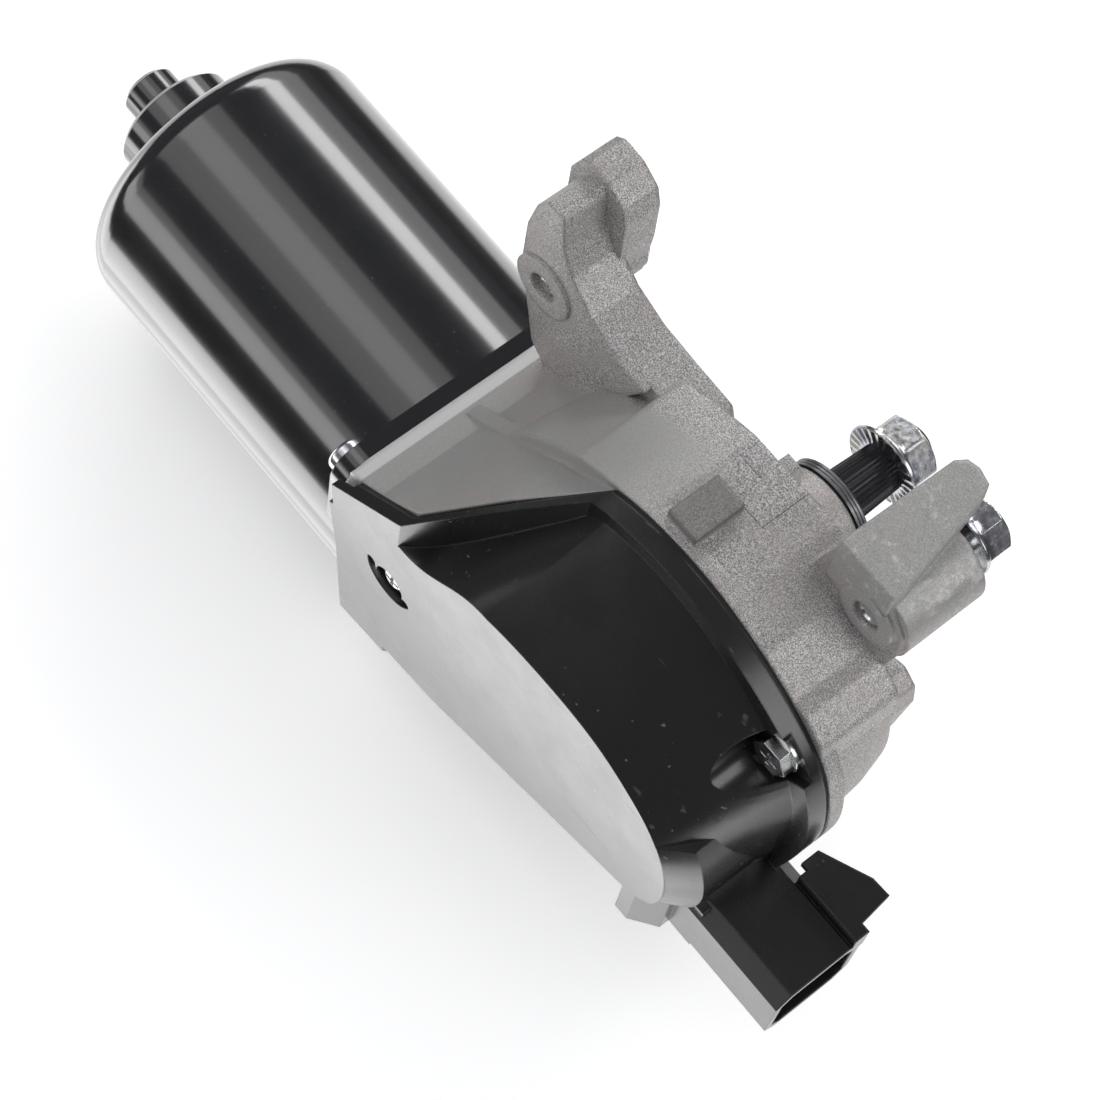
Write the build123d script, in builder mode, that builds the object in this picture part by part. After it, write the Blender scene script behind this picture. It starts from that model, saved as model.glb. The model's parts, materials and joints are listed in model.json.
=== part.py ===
from build123d import *
import os
from math import atan, cos, degrees, pi, radians, sin, tan

os.makedirs("parts", exist_ok=True)

# Wiper motor.  Millimetres, +Z up.  The origin sits on the axis of the output
# shaft.  X runs along the armature towards the gearbox, Y runs out along the
# output shaft towards the crank nut.

# worm drive
gear_module = 0.8
wheel_teeth = 51
worm_pitch_r = 4.6
wheel_pitch_r = gear_module * wheel_teeth / 2
shaft_spacing = wheel_pitch_r + worm_pitch_r
backlash = 0.3
tooth_root_gap = 0.2
wheel_width = 8.0
worm_length = 25.0
armature_y = -8.4
armature_z = -shaft_spacing

# fits
running_gap = 0.03
screw_gap = 0.05
free_gap = 0.3

# steel can
can_r = 31.5
can_wall = 1.8
can_end_x = -138.0
can_corner_r = 8.0
can_face_x = -59.0
can_flange_t = 3.5
flange_half_y = 32.4
flange_half_z = 33.6
can_boss_r = 12.6
can_boss_len = 12.0
can_knob_r = 5.75
can_knob_len = 8.5
can_screw_spots = [(-28.0, 29.4), (28.0, 29.4), (28.0, -29.4), (-17.0, -31.4)]
can_screw_r = 1.7

# field and armature
magnet_r = 21.3
core_r = 20.5
core_x0 = -119.0
core_x1 = -73.0
core_slots = 12
slot_w = 3.4
commutator_r = 10.0
commutator_x0 = -56.0
commutator_x1 = -41.0
rear_journal_r = 4.0
front_journal_r = 6.0
end_journal_r = 3.3
armature_r = 5.0

# die-cast housing
body_r = 45.0
top_z = 45.0
wall = 3.5
joint_y = -16.0
body_back_y = 8.0
floor_t = 4.0
tail_joint_y = -39.2
tail_step_x = -37.0
tail_ramp_x = -14.5
flange_x = can_face_x + can_flange_t
flange_band = 3.0
tail_top_y = 3.0
worm_tube_r = 12.0
worm_tube_end_x = 38.0
mount_y = 19.0
hub_r = 10.2
hub_end_y = 28.1

# output shaft
shaft_r = 5.5
shaft_tail_y = -13.2
taper_y0 = 33.0
taper_y1 = 43.1
taper_end_r = 5.05
taper_teeth = 36
thread_r = 3.95
shaft_end_y = 53.0
bush_r = 7.5
bush_len = 9.0
washer_t = 2.2
circlip_t = 0.9

# crank nut
nut_af = 13.0
nut_h = 8.0
nut_flange_r = 8.95

# moulded cover
cover_y = -43.0
cover_wall = 2.4
gasket_t = 1.0
rim_h = 4.0
ledge_w = 3.0

# mounting feet, centres in x and z
arm_x = -53.6
arm_z = 37.0
leg_x = 29.8
leg_z = 47.3
low_x = 14.0
low_z = -45.0
foot_hole_r = 3.05
bolt_r = 3.0

# helpers, one for each way a piece lies


def across(y):
    """plane that cuts the output shaft at this y"""
    return Plane.XZ.offset(-y)


def along(x):
    """plane that cuts the armature at this x"""
    return Plane.YZ.offset(x)


def rod_x(y, z, r, x0, x1, mode=Mode.ADD):
    """round bar that lies along the armature"""
    with Locations(Location((x0, y, z), (0, 90, 0))):
        Cylinder(r, x1 - x0, align=(Align.CENTER, Align.CENTER, Align.MIN), mode=mode)


def rod_y(x, z, r, y0, y1, mode=Mode.ADD):
    """round bar that lies along the output shaft"""
    with Locations(Location((x, y0, z), (-90, 0, 0))):
        Cylinder(r, y1 - y0, align=(Align.CENTER, Align.CENTER, Align.MIN), mode=mode)


def block(x0, x1, y0, y1, z0, z1, mode=Mode.ADD):
    """square block between two corners"""
    with Locations(((x0 + x1) / 2, (y0 + y1) / 2, (z0 + z1) / 2)):
        Box(x1 - x0, y1 - y0, z1 - z0, mode=mode)


def plate_y(points, y0, y1, corner=0.0, mode=Mode.ADD):
    """flat plate with a corner-rounded outline in x and z"""
    with BuildSketch(across(y1)) as face:
        Polygon(*points, align=None)
        if corner > 0:
            fillet(face.vertices(), corner)
    extrude(face.sketch, amount=y1 - y0, dir=(0, -1, 0), mode=mode)


def plate_z(points, z0, z1, mode=Mode.ADD):
    """flat plate with its outline in x and y"""
    with BuildSketch(Plane.XY.offset(z0)) as face:
        Polygon(*points, align=None)
    extrude(face.sketch, amount=z1 - z0, dir=(0, 0, 1), mode=mode)


arm_axis = Axis((0, armature_y, armature_z), (1, 0, 0))
arm_plane = Plane(origin=(0, armature_y, armature_z), x_dir=(1, 0, 0), z_dir=(0, -1, 0))


def turned_x(points, mode=Mode.ADD):
    """half section in x and radius, turned about the armature axis"""
    with BuildSketch(arm_plane) as half:
        Polygon(*points, align=None)
    revolve(half.sketch, axis=arm_axis, mode=mode)


def turned_y(points, mode=Mode.ADD):
    """half section in radius and y, turned about the output shaft axis"""
    with BuildSketch(Plane.XY) as half:
        Polygon(*points, align=None)
    revolve(half.sketch, axis=Axis.Y, mode=mode)


def outline(points, corners):
    """closed face: straight between neighbouring corners, a smooth curve where points lie between"""
    with BuildLine() as edge:
        ends = list(corners) + [len(points)]
        for a, b in zip(ends, ends[1:]):
            run = points[a:b] + [points[b % len(points)]]
            if len(run) == 2:
                Line(*run)
            else:
                Spline(*run)
    make_face(edge.edges())


def inset(points, d):
    """the same outline moved inwards by d, every point along its own normal"""
    moved = []
    for i, (px, pz) in enumerate(points):
        ax, az = points[i - 1]
        bx, bz = points[(i + 1) % len(points)]
        ux, uz = px - ax, pz - az
        vx, vz = bx - px, bz - pz
        lu, lv = (ux * ux + uz * uz) ** 0.5, (vx * vx + vz * vz) ** 0.5
        nx, nz = uz / lu + vz / lv, -ux / lu - vx / lv
        k = 2 * d / max(nx * nx + nz * nz, 0.5)
        moved.append((px + k * nx, pz + k * nz))
    return moved


def polar(r, angle):
    """point at this radius and angle in degrees"""
    return (r * cos(radians(angle)), r * sin(radians(angle)))


# wheel teeth: straight flanks set by the pitch, a helix that matches the worm

tooth_addendum = gear_module
tooth_dedendum = gear_module + tooth_root_gap
flank_slope = tan(radians(20))
axial_pitch = pi * gear_module
lead_angle = atan(axial_pitch / (2 * pi * worm_pitch_r))
wheel_tip_r = wheel_pitch_r + tooth_addendum
wheel_root_r = wheel_pitch_r - tooth_dedendum
wheel_turn = degrees(wheel_width * tan(lead_angle) / wheel_pitch_r)
wheel_y0 = armature_y - wheel_width / 2
wheel_y1 = armature_y + wheel_width / 2
half_tooth = (axial_pitch - backlash) / 4


def tooth_ring(turn):
    """outline points of the whole toothed rim, a gap on the worm side"""
    points = []
    step = 360 / wheel_teeth
    for i in range(wheel_teeth):
        mid = -90 + (i + 0.5) * step + turn
        for r, side in ((wheel_root_r, -1), (wheel_tip_r, -1), (wheel_tip_r, 1), (wheel_root_r, 1)):
            half = half_tooth + (wheel_pitch_r - r) * flank_slope
            points.append(polar(r, mid + side * degrees(half / r)))
    return points


wheel_hub_r = 9.0
wheel_floor_y = body_back_y - floor_t
shim_t = 0.6
wheel_hub_y1 = wheel_floor_y - shim_t - 2 * 0.1
rim_in_r = wheel_root_r - 4.0
web_t = 3.0

with BuildPart() as worm_wheel:
    # the blank is drawn at the end face and turned a little as it is drawn out
    with BuildSketch(Plane(origin=(0, wheel_y0, 0), x_dir=(1, 0, 0), z_dir=(0, -1, 0))) as blank:
        Polygon(*tooth_ring(wheel_turn / 2), align=None)
    add(
        Solid.extrude_linear_with_rotation(
            blank.sketch.faces()[0].outer_wire(), (0, wheel_y0, 0), (0, wheel_width, 0), wheel_turn
        )
    )
    turned_y([(wheel_hub_r, wheel_y0 - 1), (rim_in_r, wheel_y0 - 1),
              (rim_in_r, armature_y - web_t / 2), (wheel_hub_r, armature_y - web_t / 2)],
             mode=Mode.SUBTRACT)
    turned_y([(wheel_hub_r, wheel_y1 + 1), (rim_in_r, wheel_y1 + 1),
              (rim_in_r, armature_y + web_t / 2), (wheel_hub_r, armature_y + web_t / 2)],
             mode=Mode.SUBTRACT)
    # hub sleeve, then stiffening ribs on the back of the web
    rod_y(0, 0, wheel_hub_r, wheel_y1 - 1, wheel_hub_y1)
    for i in range(6):
        with Locations(Location((0, armature_y, 0), (0, 60 * i, 0))):
            with Locations(((wheel_hub_r + rim_in_r) / 2, wheel_width / 4 + 0.4, 0)):
                Box(rim_in_r - wheel_hub_r + 1, wheel_width / 2 - 1.2, 1.6)
    rod_y(0, 0, shaft_r, wheel_y0 - 1, wheel_hub_y1 + 1, mode=Mode.SUBTRACT)
    # four holes for the drive pegs
    for i in range(4):
        px, pz = polar((wheel_hub_r + rim_in_r) / 2, 30 + 90 * i)
        rod_y(px, pz, 1.2, wheel_y0 - 1, wheel_y1, mode=Mode.SUBTRACT)
worm_wheel.part.label = "worm_wheel"
export_step(worm_wheel.part, "parts/worm_wheel.step")

with BuildPart() as wheel_plate:
    # steel drive plate under the park disc, with four pegs into the web
    plate_y0 = armature_y - web_t / 2 - 2.0
    rod_y(0, 0, rim_in_r - 0.2, plate_y0, armature_y - web_t / 2)
    rod_y(0, 0, wheel_hub_r + 0.1, plate_y0 - 1, armature_y, mode=Mode.SUBTRACT)
    for i in range(4):
        px, pz = polar((wheel_hub_r + rim_in_r) / 2, 30 + 90 * i)
        rod_y(px, pz, 1.1, armature_y - web_t / 2 - 0.5, armature_y + web_t / 2)
wheel_plate.part.label = "wheel_plate"
export_step(wheel_plate.part, "parts/wheel_plate.step")

park_disc_r = wheel_root_r - 1.0
park_disc_t = 1.0
with BuildPart() as park_disc:
    # copper track disc, one notch tells the switch where the wipers park
    rod_y(0, 0, park_disc_r, wheel_y0 - park_disc_t, wheel_y0)
    rod_y(0, 0, shaft_r + 1.0, wheel_y0 - 2, wheel_y0 + 1, mode=Mode.SUBTRACT)
    block(park_disc_r - 4, park_disc_r + 1, wheel_y0 - 2, wheel_y0 + 1, -4, 4, mode=Mode.SUBTRACT)
    for i in range(3):
        px, pz = polar(park_disc_r - 7, 90 + 120 * i)
        rod_y(px, pz, 1.0, wheel_y0 - 2, wheel_y0 + 1, mode=Mode.SUBTRACT)
park_disc.part.label = "park_disc"
export_step(park_disc.part, "parts/park_disc.step")

# armature shaft with the worm rolled on its end

worm_tip_r = worm_pitch_r + tooth_addendum
worm_root_r = worm_pitch_r - tooth_dedendum
worm_x0 = -worm_length / 2
worm_x1 = worm_length / 2
front_bush_len = 8.0
front_bush_x0 = -31.0
front_bush_x1 = front_bush_x0 + front_bush_len
end_bush_x0 = 19.0
end_bush_len = 9.0
end_bush_x1 = end_bush_x0 + end_bush_len
shaft_nose_x = end_bush_x1 + 1.0
rear_bush_x0 = can_end_x - can_boss_len + 2.4
rear_bush_x1 = rear_bush_x0 + 7.0
shaft_back_x = rear_bush_x0 + 0.6


def worm_section(angle):
    """cut across the worm: root arc, rise, crest arc and fall, once around"""
    points = []
    for i in range(20):
        turn = (i + 0.5) / 20
        off = abs(turn - 0.5) * axial_pitch
        rise = half_tooth + flank_slope * worm_pitch_r
        r = (rise - off) / flank_slope
        r = min(worm_tip_r, max(worm_root_r, r))
        points.append(polar(r, angle + 360 * turn - 180))
    return points


with BuildPart() as armature_shaft:
    turned_x([(shaft_back_x, 0), (shaft_back_x, rear_journal_r), (rear_bush_x1 + 1, rear_journal_r),
              (rear_bush_x1 + 1, armature_r), (front_bush_x0 - 1, armature_r),
              (front_bush_x0 - 1, front_journal_r), (front_bush_x1 + 0.5, front_journal_r),
              (front_bush_x1 + 0.5, worm_tip_r), (worm_x0 - 1.5, worm_tip_r),
              (worm_x0, worm_root_r - 0.1), (worm_x0, 0)])
    # the thread is one cut across the worm, turned as it is drawn out
    with BuildSketch(Plane.YZ.offset(worm_x0)) as thread:
        with Locations((armature_y, armature_z)):
            Polygon(*worm_section(90 + 360 * worm_x0 / axial_pitch), align=None)
    add(
        Solid.extrude_linear_with_rotation(
            thread.sketch.faces()[0].outer_wire(),
            (worm_x0, armature_y, armature_z),
            (worm_length, 0, 0),
            360 * worm_length / axial_pitch,
        )
    )
    turned_x([(worm_x1, 0), (worm_x1, worm_root_r - 0.1), (end_bush_x0 - 3, worm_root_r - 0.1),
              (end_bush_x0 - 3, end_journal_r), (shaft_nose_x - 0.6, end_journal_r),
              (shaft_nose_x, end_journal_r - 0.8), (shaft_nose_x, 0)])
armature_shaft.part.label = "armature_shaft"
export_step(armature_shaft.part, "parts/armature_shaft.step")

with BuildPart() as lamination_core:
    with BuildSketch(along(core_x0)) as stamping:
        with Locations((armature_y, armature_z)):
            Circle(core_r)
            Circle(armature_r, mode=Mode.SUBTRACT)
            with PolarLocations(14.6, core_slots):
                RectangleRounded(8.0, slot_w, 1.2, mode=Mode.SUBTRACT)
            with PolarLocations(core_r, core_slots):
                Rectangle(6.0, 1.6, mode=Mode.SUBTRACT)
    extrude(stamping.sketch, amount=core_x1 - core_x0, dir=(1, 0, 0))
lamination_core.part.label = "lamination_core"
export_step(lamination_core.part, "parts/lamination_core.step")

coil_in = 6.4
with BuildPart() as windings:
    # two end bundles joined by the wire packed in the slots
    for x0, x1 in ((core_x0 - 8.0, core_x0 - 0.8), (core_x1 + 0.8, core_x1 + 8.0)):
        turned_x([(x0 + 2, coil_in), (x0, coil_in + 2), (x0, 15.0), (x0 + 2, 17.6),
                  (x1, 18.3), (x1, coil_in)])
    with BuildSketch(along(core_x0 - 1)) as wires:
        with Locations((armature_y, armature_z)):
            with PolarLocations(14.6, core_slots):
                RectangleRounded(7.4, slot_w - 0.6, 0.9)
    extrude(wires.sketch, amount=core_x1 - core_x0 + 2, dir=(1, 0, 0))
windings.part.label = "windings"
export_step(windings.part, "parts/windings.step")

with BuildPart() as slot_insulators:
    # fibre discs that keep the wire off the steel at both ends of the stack
    for x0 in (core_x0 - 0.8, core_x1):
        with BuildSketch(along(x0)) as disc:
            with Locations((armature_y, armature_z)):
                Circle(core_r - 0.6)
                Circle(armature_r, mode=Mode.SUBTRACT)
                with PolarLocations(14.6, core_slots):
                    RectangleRounded(8.0, slot_w, 1.2, mode=Mode.SUBTRACT)
        extrude(disc.sketch, amount=0.8, dir=(1, 0, 0))
slot_insulators.part.label = "slot_insulators"
export_step(slot_insulators.part, "parts/slot_insulators.step")

with BuildPart() as commutator:
    # copper bars with saw cuts between them and hooks for the wire ends
    turned_x([(commutator_x0, 7.0), (commutator_x0, 12.0), (commutator_x0 + 2, 12.0),
              (commutator_x0 + 2, commutator_r), (commutator_x1, commutator_r), (commutator_x1, 7.0)])
    with BuildSketch(along(commutator_x0 - 1)) as cuts:
        with Locations((armature_y, armature_z)):
            with PolarLocations(11.5, core_slots):
                Rectangle(4.6, 0.6)
    extrude(cuts.sketch, amount=commutator_x1 - commutator_x0 + 2, dir=(1, 0, 0), mode=Mode.SUBTRACT)
commutator.part.label = "commutator"
export_step(commutator.part, "parts/commutator.step")

with BuildPart() as commutator_hub:
    turned_x([(commutator_x0 - 0.8, armature_r), (commutator_x0 - 0.8, 7.0),
              (commutator_x1 + 0.8, 7.0), (commutator_x1 + 0.8, armature_r)])
commutator_hub.part.label = "commutator_hub"
export_step(commutator_hub.part, "parts/commutator_hub.step")

# steel can, magnets and the rear bearing

bore_r = can_r - can_wall
boss_end_x = can_end_x - can_boss_len
knob_end_x = boss_end_x - can_knob_len
felt_r = can_boss_r - 2.0


def flange_shape():
    """square flange, cut off on the low front side, with a lug for the screw there"""
    RectangleRounded(2 * flange_half_y, 2 * flange_half_z, 6)
    Polygon((-flange_half_y - 2, 22), (-flange_half_y - 2, -flange_half_z - 2), (-22.4, -flange_half_z - 2),
            align=None, mode=Mode.SUBTRACT)
    with Locations(can_screw_spots[3]):
        Circle(4.6)


with BuildPart() as motor_can:
    with BuildSketch(arm_plane) as shell:
        Polygon((can_face_x + can_flange_t, can_r), (can_end_x, can_r), (can_end_x, can_boss_r + 0.8),
                (can_end_x - 0.8, can_boss_r), (boss_end_x + 1.0, can_boss_r),
                (boss_end_x, can_boss_r - 1.0), (boss_end_x, can_knob_r + 1.6),
                (boss_end_x - 0.8, can_knob_r - 1.0), (boss_end_x - 2.2, can_knob_r - 1.0),
                (boss_end_x - 2.8, can_knob_r), (knob_end_x + 1.0, can_knob_r),
                (knob_end_x, can_knob_r - 1.0), (knob_end_x, 0), (boss_end_x + 2.4, 0),
                (boss_end_x + 2.4, felt_r), (can_end_x + can_wall, felt_r),
                (can_end_x + can_wall, bore_r), (can_face_x + can_flange_t, bore_r), align=None)
        fillet(shell.vertices().sort_by_distance((can_end_x, can_r))[:1], can_corner_r)
        fillet(shell.vertices().sort_by_distance((can_end_x + can_wall, bore_r))[:1],
               can_corner_r - can_wall)
    revolve(shell.sketch, axis=arm_axis)
    with BuildSketch(along(can_face_x)) as flange:
        with Locations((armature_y, armature_z)):
            flange_shape()
            Circle(can_r - 0.2, mode=Mode.SUBTRACT)
            with Locations(*can_screw_spots):
                Circle(can_screw_r + 0.4, mode=Mode.SUBTRACT)
    extrude(flange.sketch, amount=can_flange_t, dir=(1, 0, 0))
motor_can.part.label = "motor_can"
export_step(motor_can.part, "parts/motor_can.step")

with BuildPart() as field_magnets:
    # two curved magnets, one above and one below the armature
    turned_x([(core_x0 - 5, magnet_r), (core_x0 - 5, bore_r - 0.1),
              (core_x1 + 5, bore_r - 0.1), (core_x1 + 5, magnet_r)])
    block(core_x0 - 6, core_x1 + 6, armature_y - can_r, armature_y + can_r,
          armature_z - 9, armature_z + 9, mode=Mode.SUBTRACT)
field_magnets.part.label = "field_magnets"
export_step(field_magnets.part, "parts/field_magnets.step")

with BuildPart() as magnet_clips:
    # spring clips wedged between the magnets on both sides
    turned_x([(core_x0 - 3, bore_r - 4.2), (core_x0 - 3, bore_r - 0.1),
              (core_x1 + 3, bore_r - 0.1), (core_x1 + 3, bore_r - 4.2)])
    block(core_x0 - 6, core_x1 + 6, armature_y - can_r, armature_y + can_r,
          armature_z + 8.8, armature_z + can_r, mode=Mode.SUBTRACT)
    block(core_x0 - 6, core_x1 + 6, armature_y - can_r, armature_y + can_r,
          armature_z - can_r, armature_z - 8.8, mode=Mode.SUBTRACT)
    block(core_x0 - 6, core_x1 + 6, armature_y - bore_r + 1.5, armature_y + bore_r - 1.5,
          armature_z - 7.6, armature_z + 7.6, mode=Mode.SUBTRACT)
magnet_clips.part.label = "magnet_clips"
export_step(magnet_clips.part, "parts/magnet_clips.step")

with BuildPart() as rear_bush:
    turned_x([(rear_bush_x0, rear_journal_r + running_gap), (rear_bush_x0, 6.2),
              (rear_bush_x0 + 1.2, 7.0), (rear_bush_x1 - 1.2, 7.0), (rear_bush_x1, 6.2),
              (rear_bush_x1, rear_journal_r + running_gap)])
rear_bush.part.label = "rear_bush"
export_step(rear_bush.part, "parts/rear_bush.step")

with BuildPart() as oil_felt:
    turned_x([(rear_bush_x0, 7.0), (rear_bush_x0, felt_r),
              (rear_bush_x1 - 1.2, felt_r), (rear_bush_x1 - 1.2, 7.0)])
oil_felt.part.label = "oil_felt"
export_step(oil_felt.part, "parts/oil_felt.step")

with BuildPart() as bearing_clip:
    # slotted spring washer that holds the rear bush in its pocket
    turned_x([(rear_bush_x1 - 1.2, 7.0), (rear_bush_x1 - 1.2, felt_r),
              (rear_bush_x1 - 0.4, felt_r), (rear_bush_x1 - 0.4, 7.0)])
    with BuildSketch(along(rear_bush_x1 - 2)) as gaps:
        with Locations((armature_y, armature_z)):
            with PolarLocations(7.6, 6):
                Rectangle(2.4, 1.6)
    extrude(gaps.sketch, amount=3, dir=(1, 0, 0), mode=Mode.SUBTRACT)
bearing_clip.part.label = "bearing_clip"
export_step(bearing_clip.part, "parts/bearing_clip.step")

can_screw_len = 9.0
with BuildPart() as can_screws:
    # four pan head screws, drawn from the can side
    for dy, dz in can_screw_spots:
        cy = armature_y + dy
        cz = armature_z + dz
        rod_x(cy, cz, 3.65, can_face_x - 2.3, can_face_x)
        rod_x(cy, cz, can_screw_r, can_face_x - 0.1, can_face_x + can_screw_len)
    heads = can_screws.edges().filter_by(GeomType.CIRCLE).filter_by_position(
        Axis.X, can_face_x - 2.35, can_face_x - 2.25)
    fillet(heads, 1.2)
    for dy, dz in can_screw_spots:
        cy = armature_y + dy
        cz = armature_z + dz
        block(can_face_x - 3, can_face_x - 1.2, cy - 2, cy + 2, cz - 0.45, cz + 0.45,
              mode=Mode.SUBTRACT)
        block(can_face_x - 3, can_face_x - 1.2, cy - 0.45, cy + 0.45, cz - 2, cz + 2,
              mode=Mode.SUBTRACT)
can_screws.part.label = "can_screws"
export_step(can_screws.part, "parts/can_screws.step")

# gear housing: pan, motor tail, worm tube, output hub and three feet

brush_room_r = 26.5
brush_room_x = -43.0
adjuster_r = 4.0
rim_points = [
    (-56, 7), (-38, 21), (-27, 31.6), (-14.5, 42), (-8, 44.6), (2, 46.2), (12, 45.7), (22, 42.8),
    (30.5, 38.8), (37.5, 34.2), (43.5, 27.8), (47, 19), (48.2, 9.5), (47.4, 1), (45.2, -10),
    (41, -27), (17, -36.5), (-20, -36.5), (-34, -35.6), (-50.4, -37.8),
]
rim_corners = [0, 1, 3, 14, 15, 16, 17, 18, 19]
tail_points = [
    (flange_x, 8.6), (-47, 12.6), (-38, 21.4), (-27, 32), (-14, 41), (-4, 40), (10, 30), (10, -20),
    (-8, -36), (-28, -42), (-40, -53), (flange_x, -57),
]
arm_points = [
    (-48, 2), (-54.5, 15), (-60.3, 37), (-60.6, 49), (-59.2, 57), (-57, 60.5), (-52.6, 60.8),
    (-52.2, 57), (-51.4, 52), (-48.3, 46.7), (-42.5, 41.4), (-34.7, 38.4), (-25.3, 37.5),
    (-16, 37), (-10, 20), (-30, 0),
]
pad_points = [(-61.5, 30), (-61.8, 57), (-60, 61.4), (-57.8, 63.3), (-53, 62.9), (-48.6, 60.1),
              (-47.3, 56), (-46.8, 46), (-47.4, 33), (-50, 28)]
top_points = [(-26, 34), (-24.5, 38.4), (-14.5, 42.6), (-7, top_z), (14, top_z), (24, 42.4), (33, 37.8),
              (35, 26), (0, 20)]
lobe_points = [(24, 28), (27, 39.4), (36, 37.2), (41.2, 33), (42, 26), (38, 20)]
side_points = [(29, -6), (29, 16), (35.5, 18.5), (39, 16), (40, 11), (38.6, -5)]
finger_points = [(19.8, 0.3), (20.3, 25.4), (21.6, 27.4), (24, 28), (27.2, 27.2), (28.4, 25), (33, 3),
                 (33, 0.3)]
cover_screw_spots = [(35.7, 28.6), (27, -36.5), (-8, -40)]
cover_screw_r = 1.7
cover_boss_r = 5.2
stud_x = -38.3
stud_z = -5.0
stud_r = 3.2

with BuildPart() as pan_room:
    # room for the wheel, narrower towards its floor
    turned_y([(0, joint_y - 1), (body_r - wall, joint_y - 1), (body_r - wall - 4, wheel_floor_y),
              (0, wheel_floor_y)])
    block(-60, 60, joint_y - 2, body_back_y, -60, armature_z + 14, mode=Mode.SUBTRACT)

with BuildPart() as gear_housing:
    # pan with a little draft, its flat top and its rim flange
    turned_y([(0, joint_y), (body_r, joint_y), (body_r - 1.5, 0), (body_r - 3, body_back_y - 2),
              (body_r - 5, body_back_y), (0, body_back_y)])
    block(-60, 60, joint_y - 1, body_back_y + 1, -60, armature_z - worm_tube_r, mode=Mode.SUBTRACT)
    plate_y(top_points, joint_y, body_back_y + 0.3, corner=2.0)
    with BuildSketch(across(joint_y + 3.2)) as flange_face:
        outline(rim_points, rim_corners)
    extrude(flange_face.sketch, amount=3.2, dir=(0, -1, 0))
    # motor tail: wedge that meets the cover, and a barrel on the hidden side
    plate_y(tail_points, tail_joint_y, tail_top_y, corner=1.5)
    with BuildSketch(along(-70)) as low_side:
        Polygon((-50, -14), (-50, -80), (-21, -80), align=None)
    extrude(low_side.sketch, amount=120, dir=(1, 0, 0), mode=Mode.SUBTRACT)
    turned_x([(flange_x, 0), (flange_x, 30.0), (-45, 29.5), (-30, 17.5), (-20, worm_tube_r),
              (worm_tube_end_x - 1.5, worm_tube_r), (worm_tube_end_x, worm_tube_r - 1.5),
              (worm_tube_end_x, 0)])
    # the side that meets the cover steps down from the tail to the pan
    plate_z([(-80, -60), (-80, tail_joint_y), (tail_step_x, tail_joint_y),
             (tail_ramp_x, joint_y), (70, joint_y), (70, -60)], -70, 70, mode=Mode.SUBTRACT)
    with BuildSketch(along(flange_x)) as band:
        with Locations((armature_y, armature_z)):
            flange_shape()
    extrude(band.sketch, amount=flange_band, dir=(1, 0, 0))
    # lugs for the can screws
    for dy, dz in can_screw_spots[1:]:
        rod_x(armature_y + dy, armature_z + dz, 4.2, flange_x, flange_x + 8)
    # output hub with six gussets
    turned_y([(0, body_back_y - 2), (15, body_back_y - 2), (13, body_back_y + 3),
              (hub_r + 0.6, hub_end_y - 9), (hub_r - 0.2, hub_end_y), (0, hub_end_y)])
    for i in range(6):
        turn = 90 + 60 * i
        side = Plane(origin=(0, 0, 0), x_dir=(cos(radians(turn)), 0, sin(radians(turn))),
                     z_dir=(-sin(radians(turn)), 0, cos(radians(turn))))
        reach = -1 if side.y_dir.Y < 0 else 1
        long = body_r - 2.0 if i in (0, 1) else body_r - 9.0
        with BuildSketch(side) as gusset:
            Polygon((8, reach * 6), (long, reach * 6), (long, reach * 11.5), (long - 13, reach * 14.5),
                    (hub_r + 0.4, reach * (hub_end_y - 4)), (8, reach * (hub_end_y - 4)), align=None)
        extrude(gusset.sketch, amount=1.6, both=True)
    # upper foot on its arm, with a raised ring round the hole
    plate_y(arm_points, tail_top_y, mount_y - 6.5, corner=1.2)
    plate_y(pad_points, mount_y - 8, mount_y, corner=1.5)
    rod_y(arm_x, arm_z, 6.9, 0.3, mount_y)
    # right foot, its web and the finger that reaches past the mounting face
    rod_y(leg_x, leg_z, 9.0, 1.5, mount_y)
    rod_y(leg_x, leg_z, 6.2, 0, 2)
    plate_y([(15.5, 40), (19.6, 56), (33, 56), (37.6, 50), (37.8, 44), (35, 30), (15, 30)],
            1, mount_y - 9, corner=1.0)
    plate_z(finger_points, leg_z + 7.2, leg_z + 12.4)
    plate_z(finger_points[:2] + [(27.6, 25.4), (33, 3), (33, 0.3)], leg_z - 1, leg_z + 8)
    # lower foot on the far side
    rod_y(low_x, low_z, 8.5, 1.5, mount_y)
    plate_y([(low_x - 8, low_z + 2), (low_x - 10, -28), (low_x + 14, -26), (low_x + 8, low_z + 2)],
            2, mount_y - 6, corner=1.0)
    plate_y(side_points, 2, 12, corner=1.5)
    # rib on top of the pan and bosses for the cover screws
    block(-4.4, 2.6, -14.2, -3.2, top_z - 3, top_z + 3.5)
    plate_y(lobe_points, joint_y, 1.5, corner=3.0)
    for sx, sz in cover_screw_spots:
        rod_y(sx, sz, cover_boss_r, joint_y, 1.5)
    rod_y(stud_x, stud_z, stud_r, cover_y + cover_wall + 0.2, tail_joint_y + 1)
    # the mounting side of the right foot is cut back to clear the bolt
    rod_y(leg_x, leg_z, 7.2, mount_y, mount_y + 12, mode=Mode.SUBTRACT)
    # hollow: pan, wheel pit, worm trough
    add(pan_room.part, mode=Mode.SUBTRACT)
    rod_y(0, 0, wheel_tip_r + 1.4, joint_y - 1, wheel_floor_y, mode=Mode.SUBTRACT)
    block(worm_x0 - 2, worm_x1 + 2, joint_y - 1, armature_y + worm_tip_r + 2.5,
          armature_z - worm_tip_r - 2.5, armature_z + 14, mode=Mode.SUBTRACT)
    for sx, sz in cover_screw_spots:
        rod_y(sx, sz, cover_boss_r - 0.5, joint_y, 1)
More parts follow.
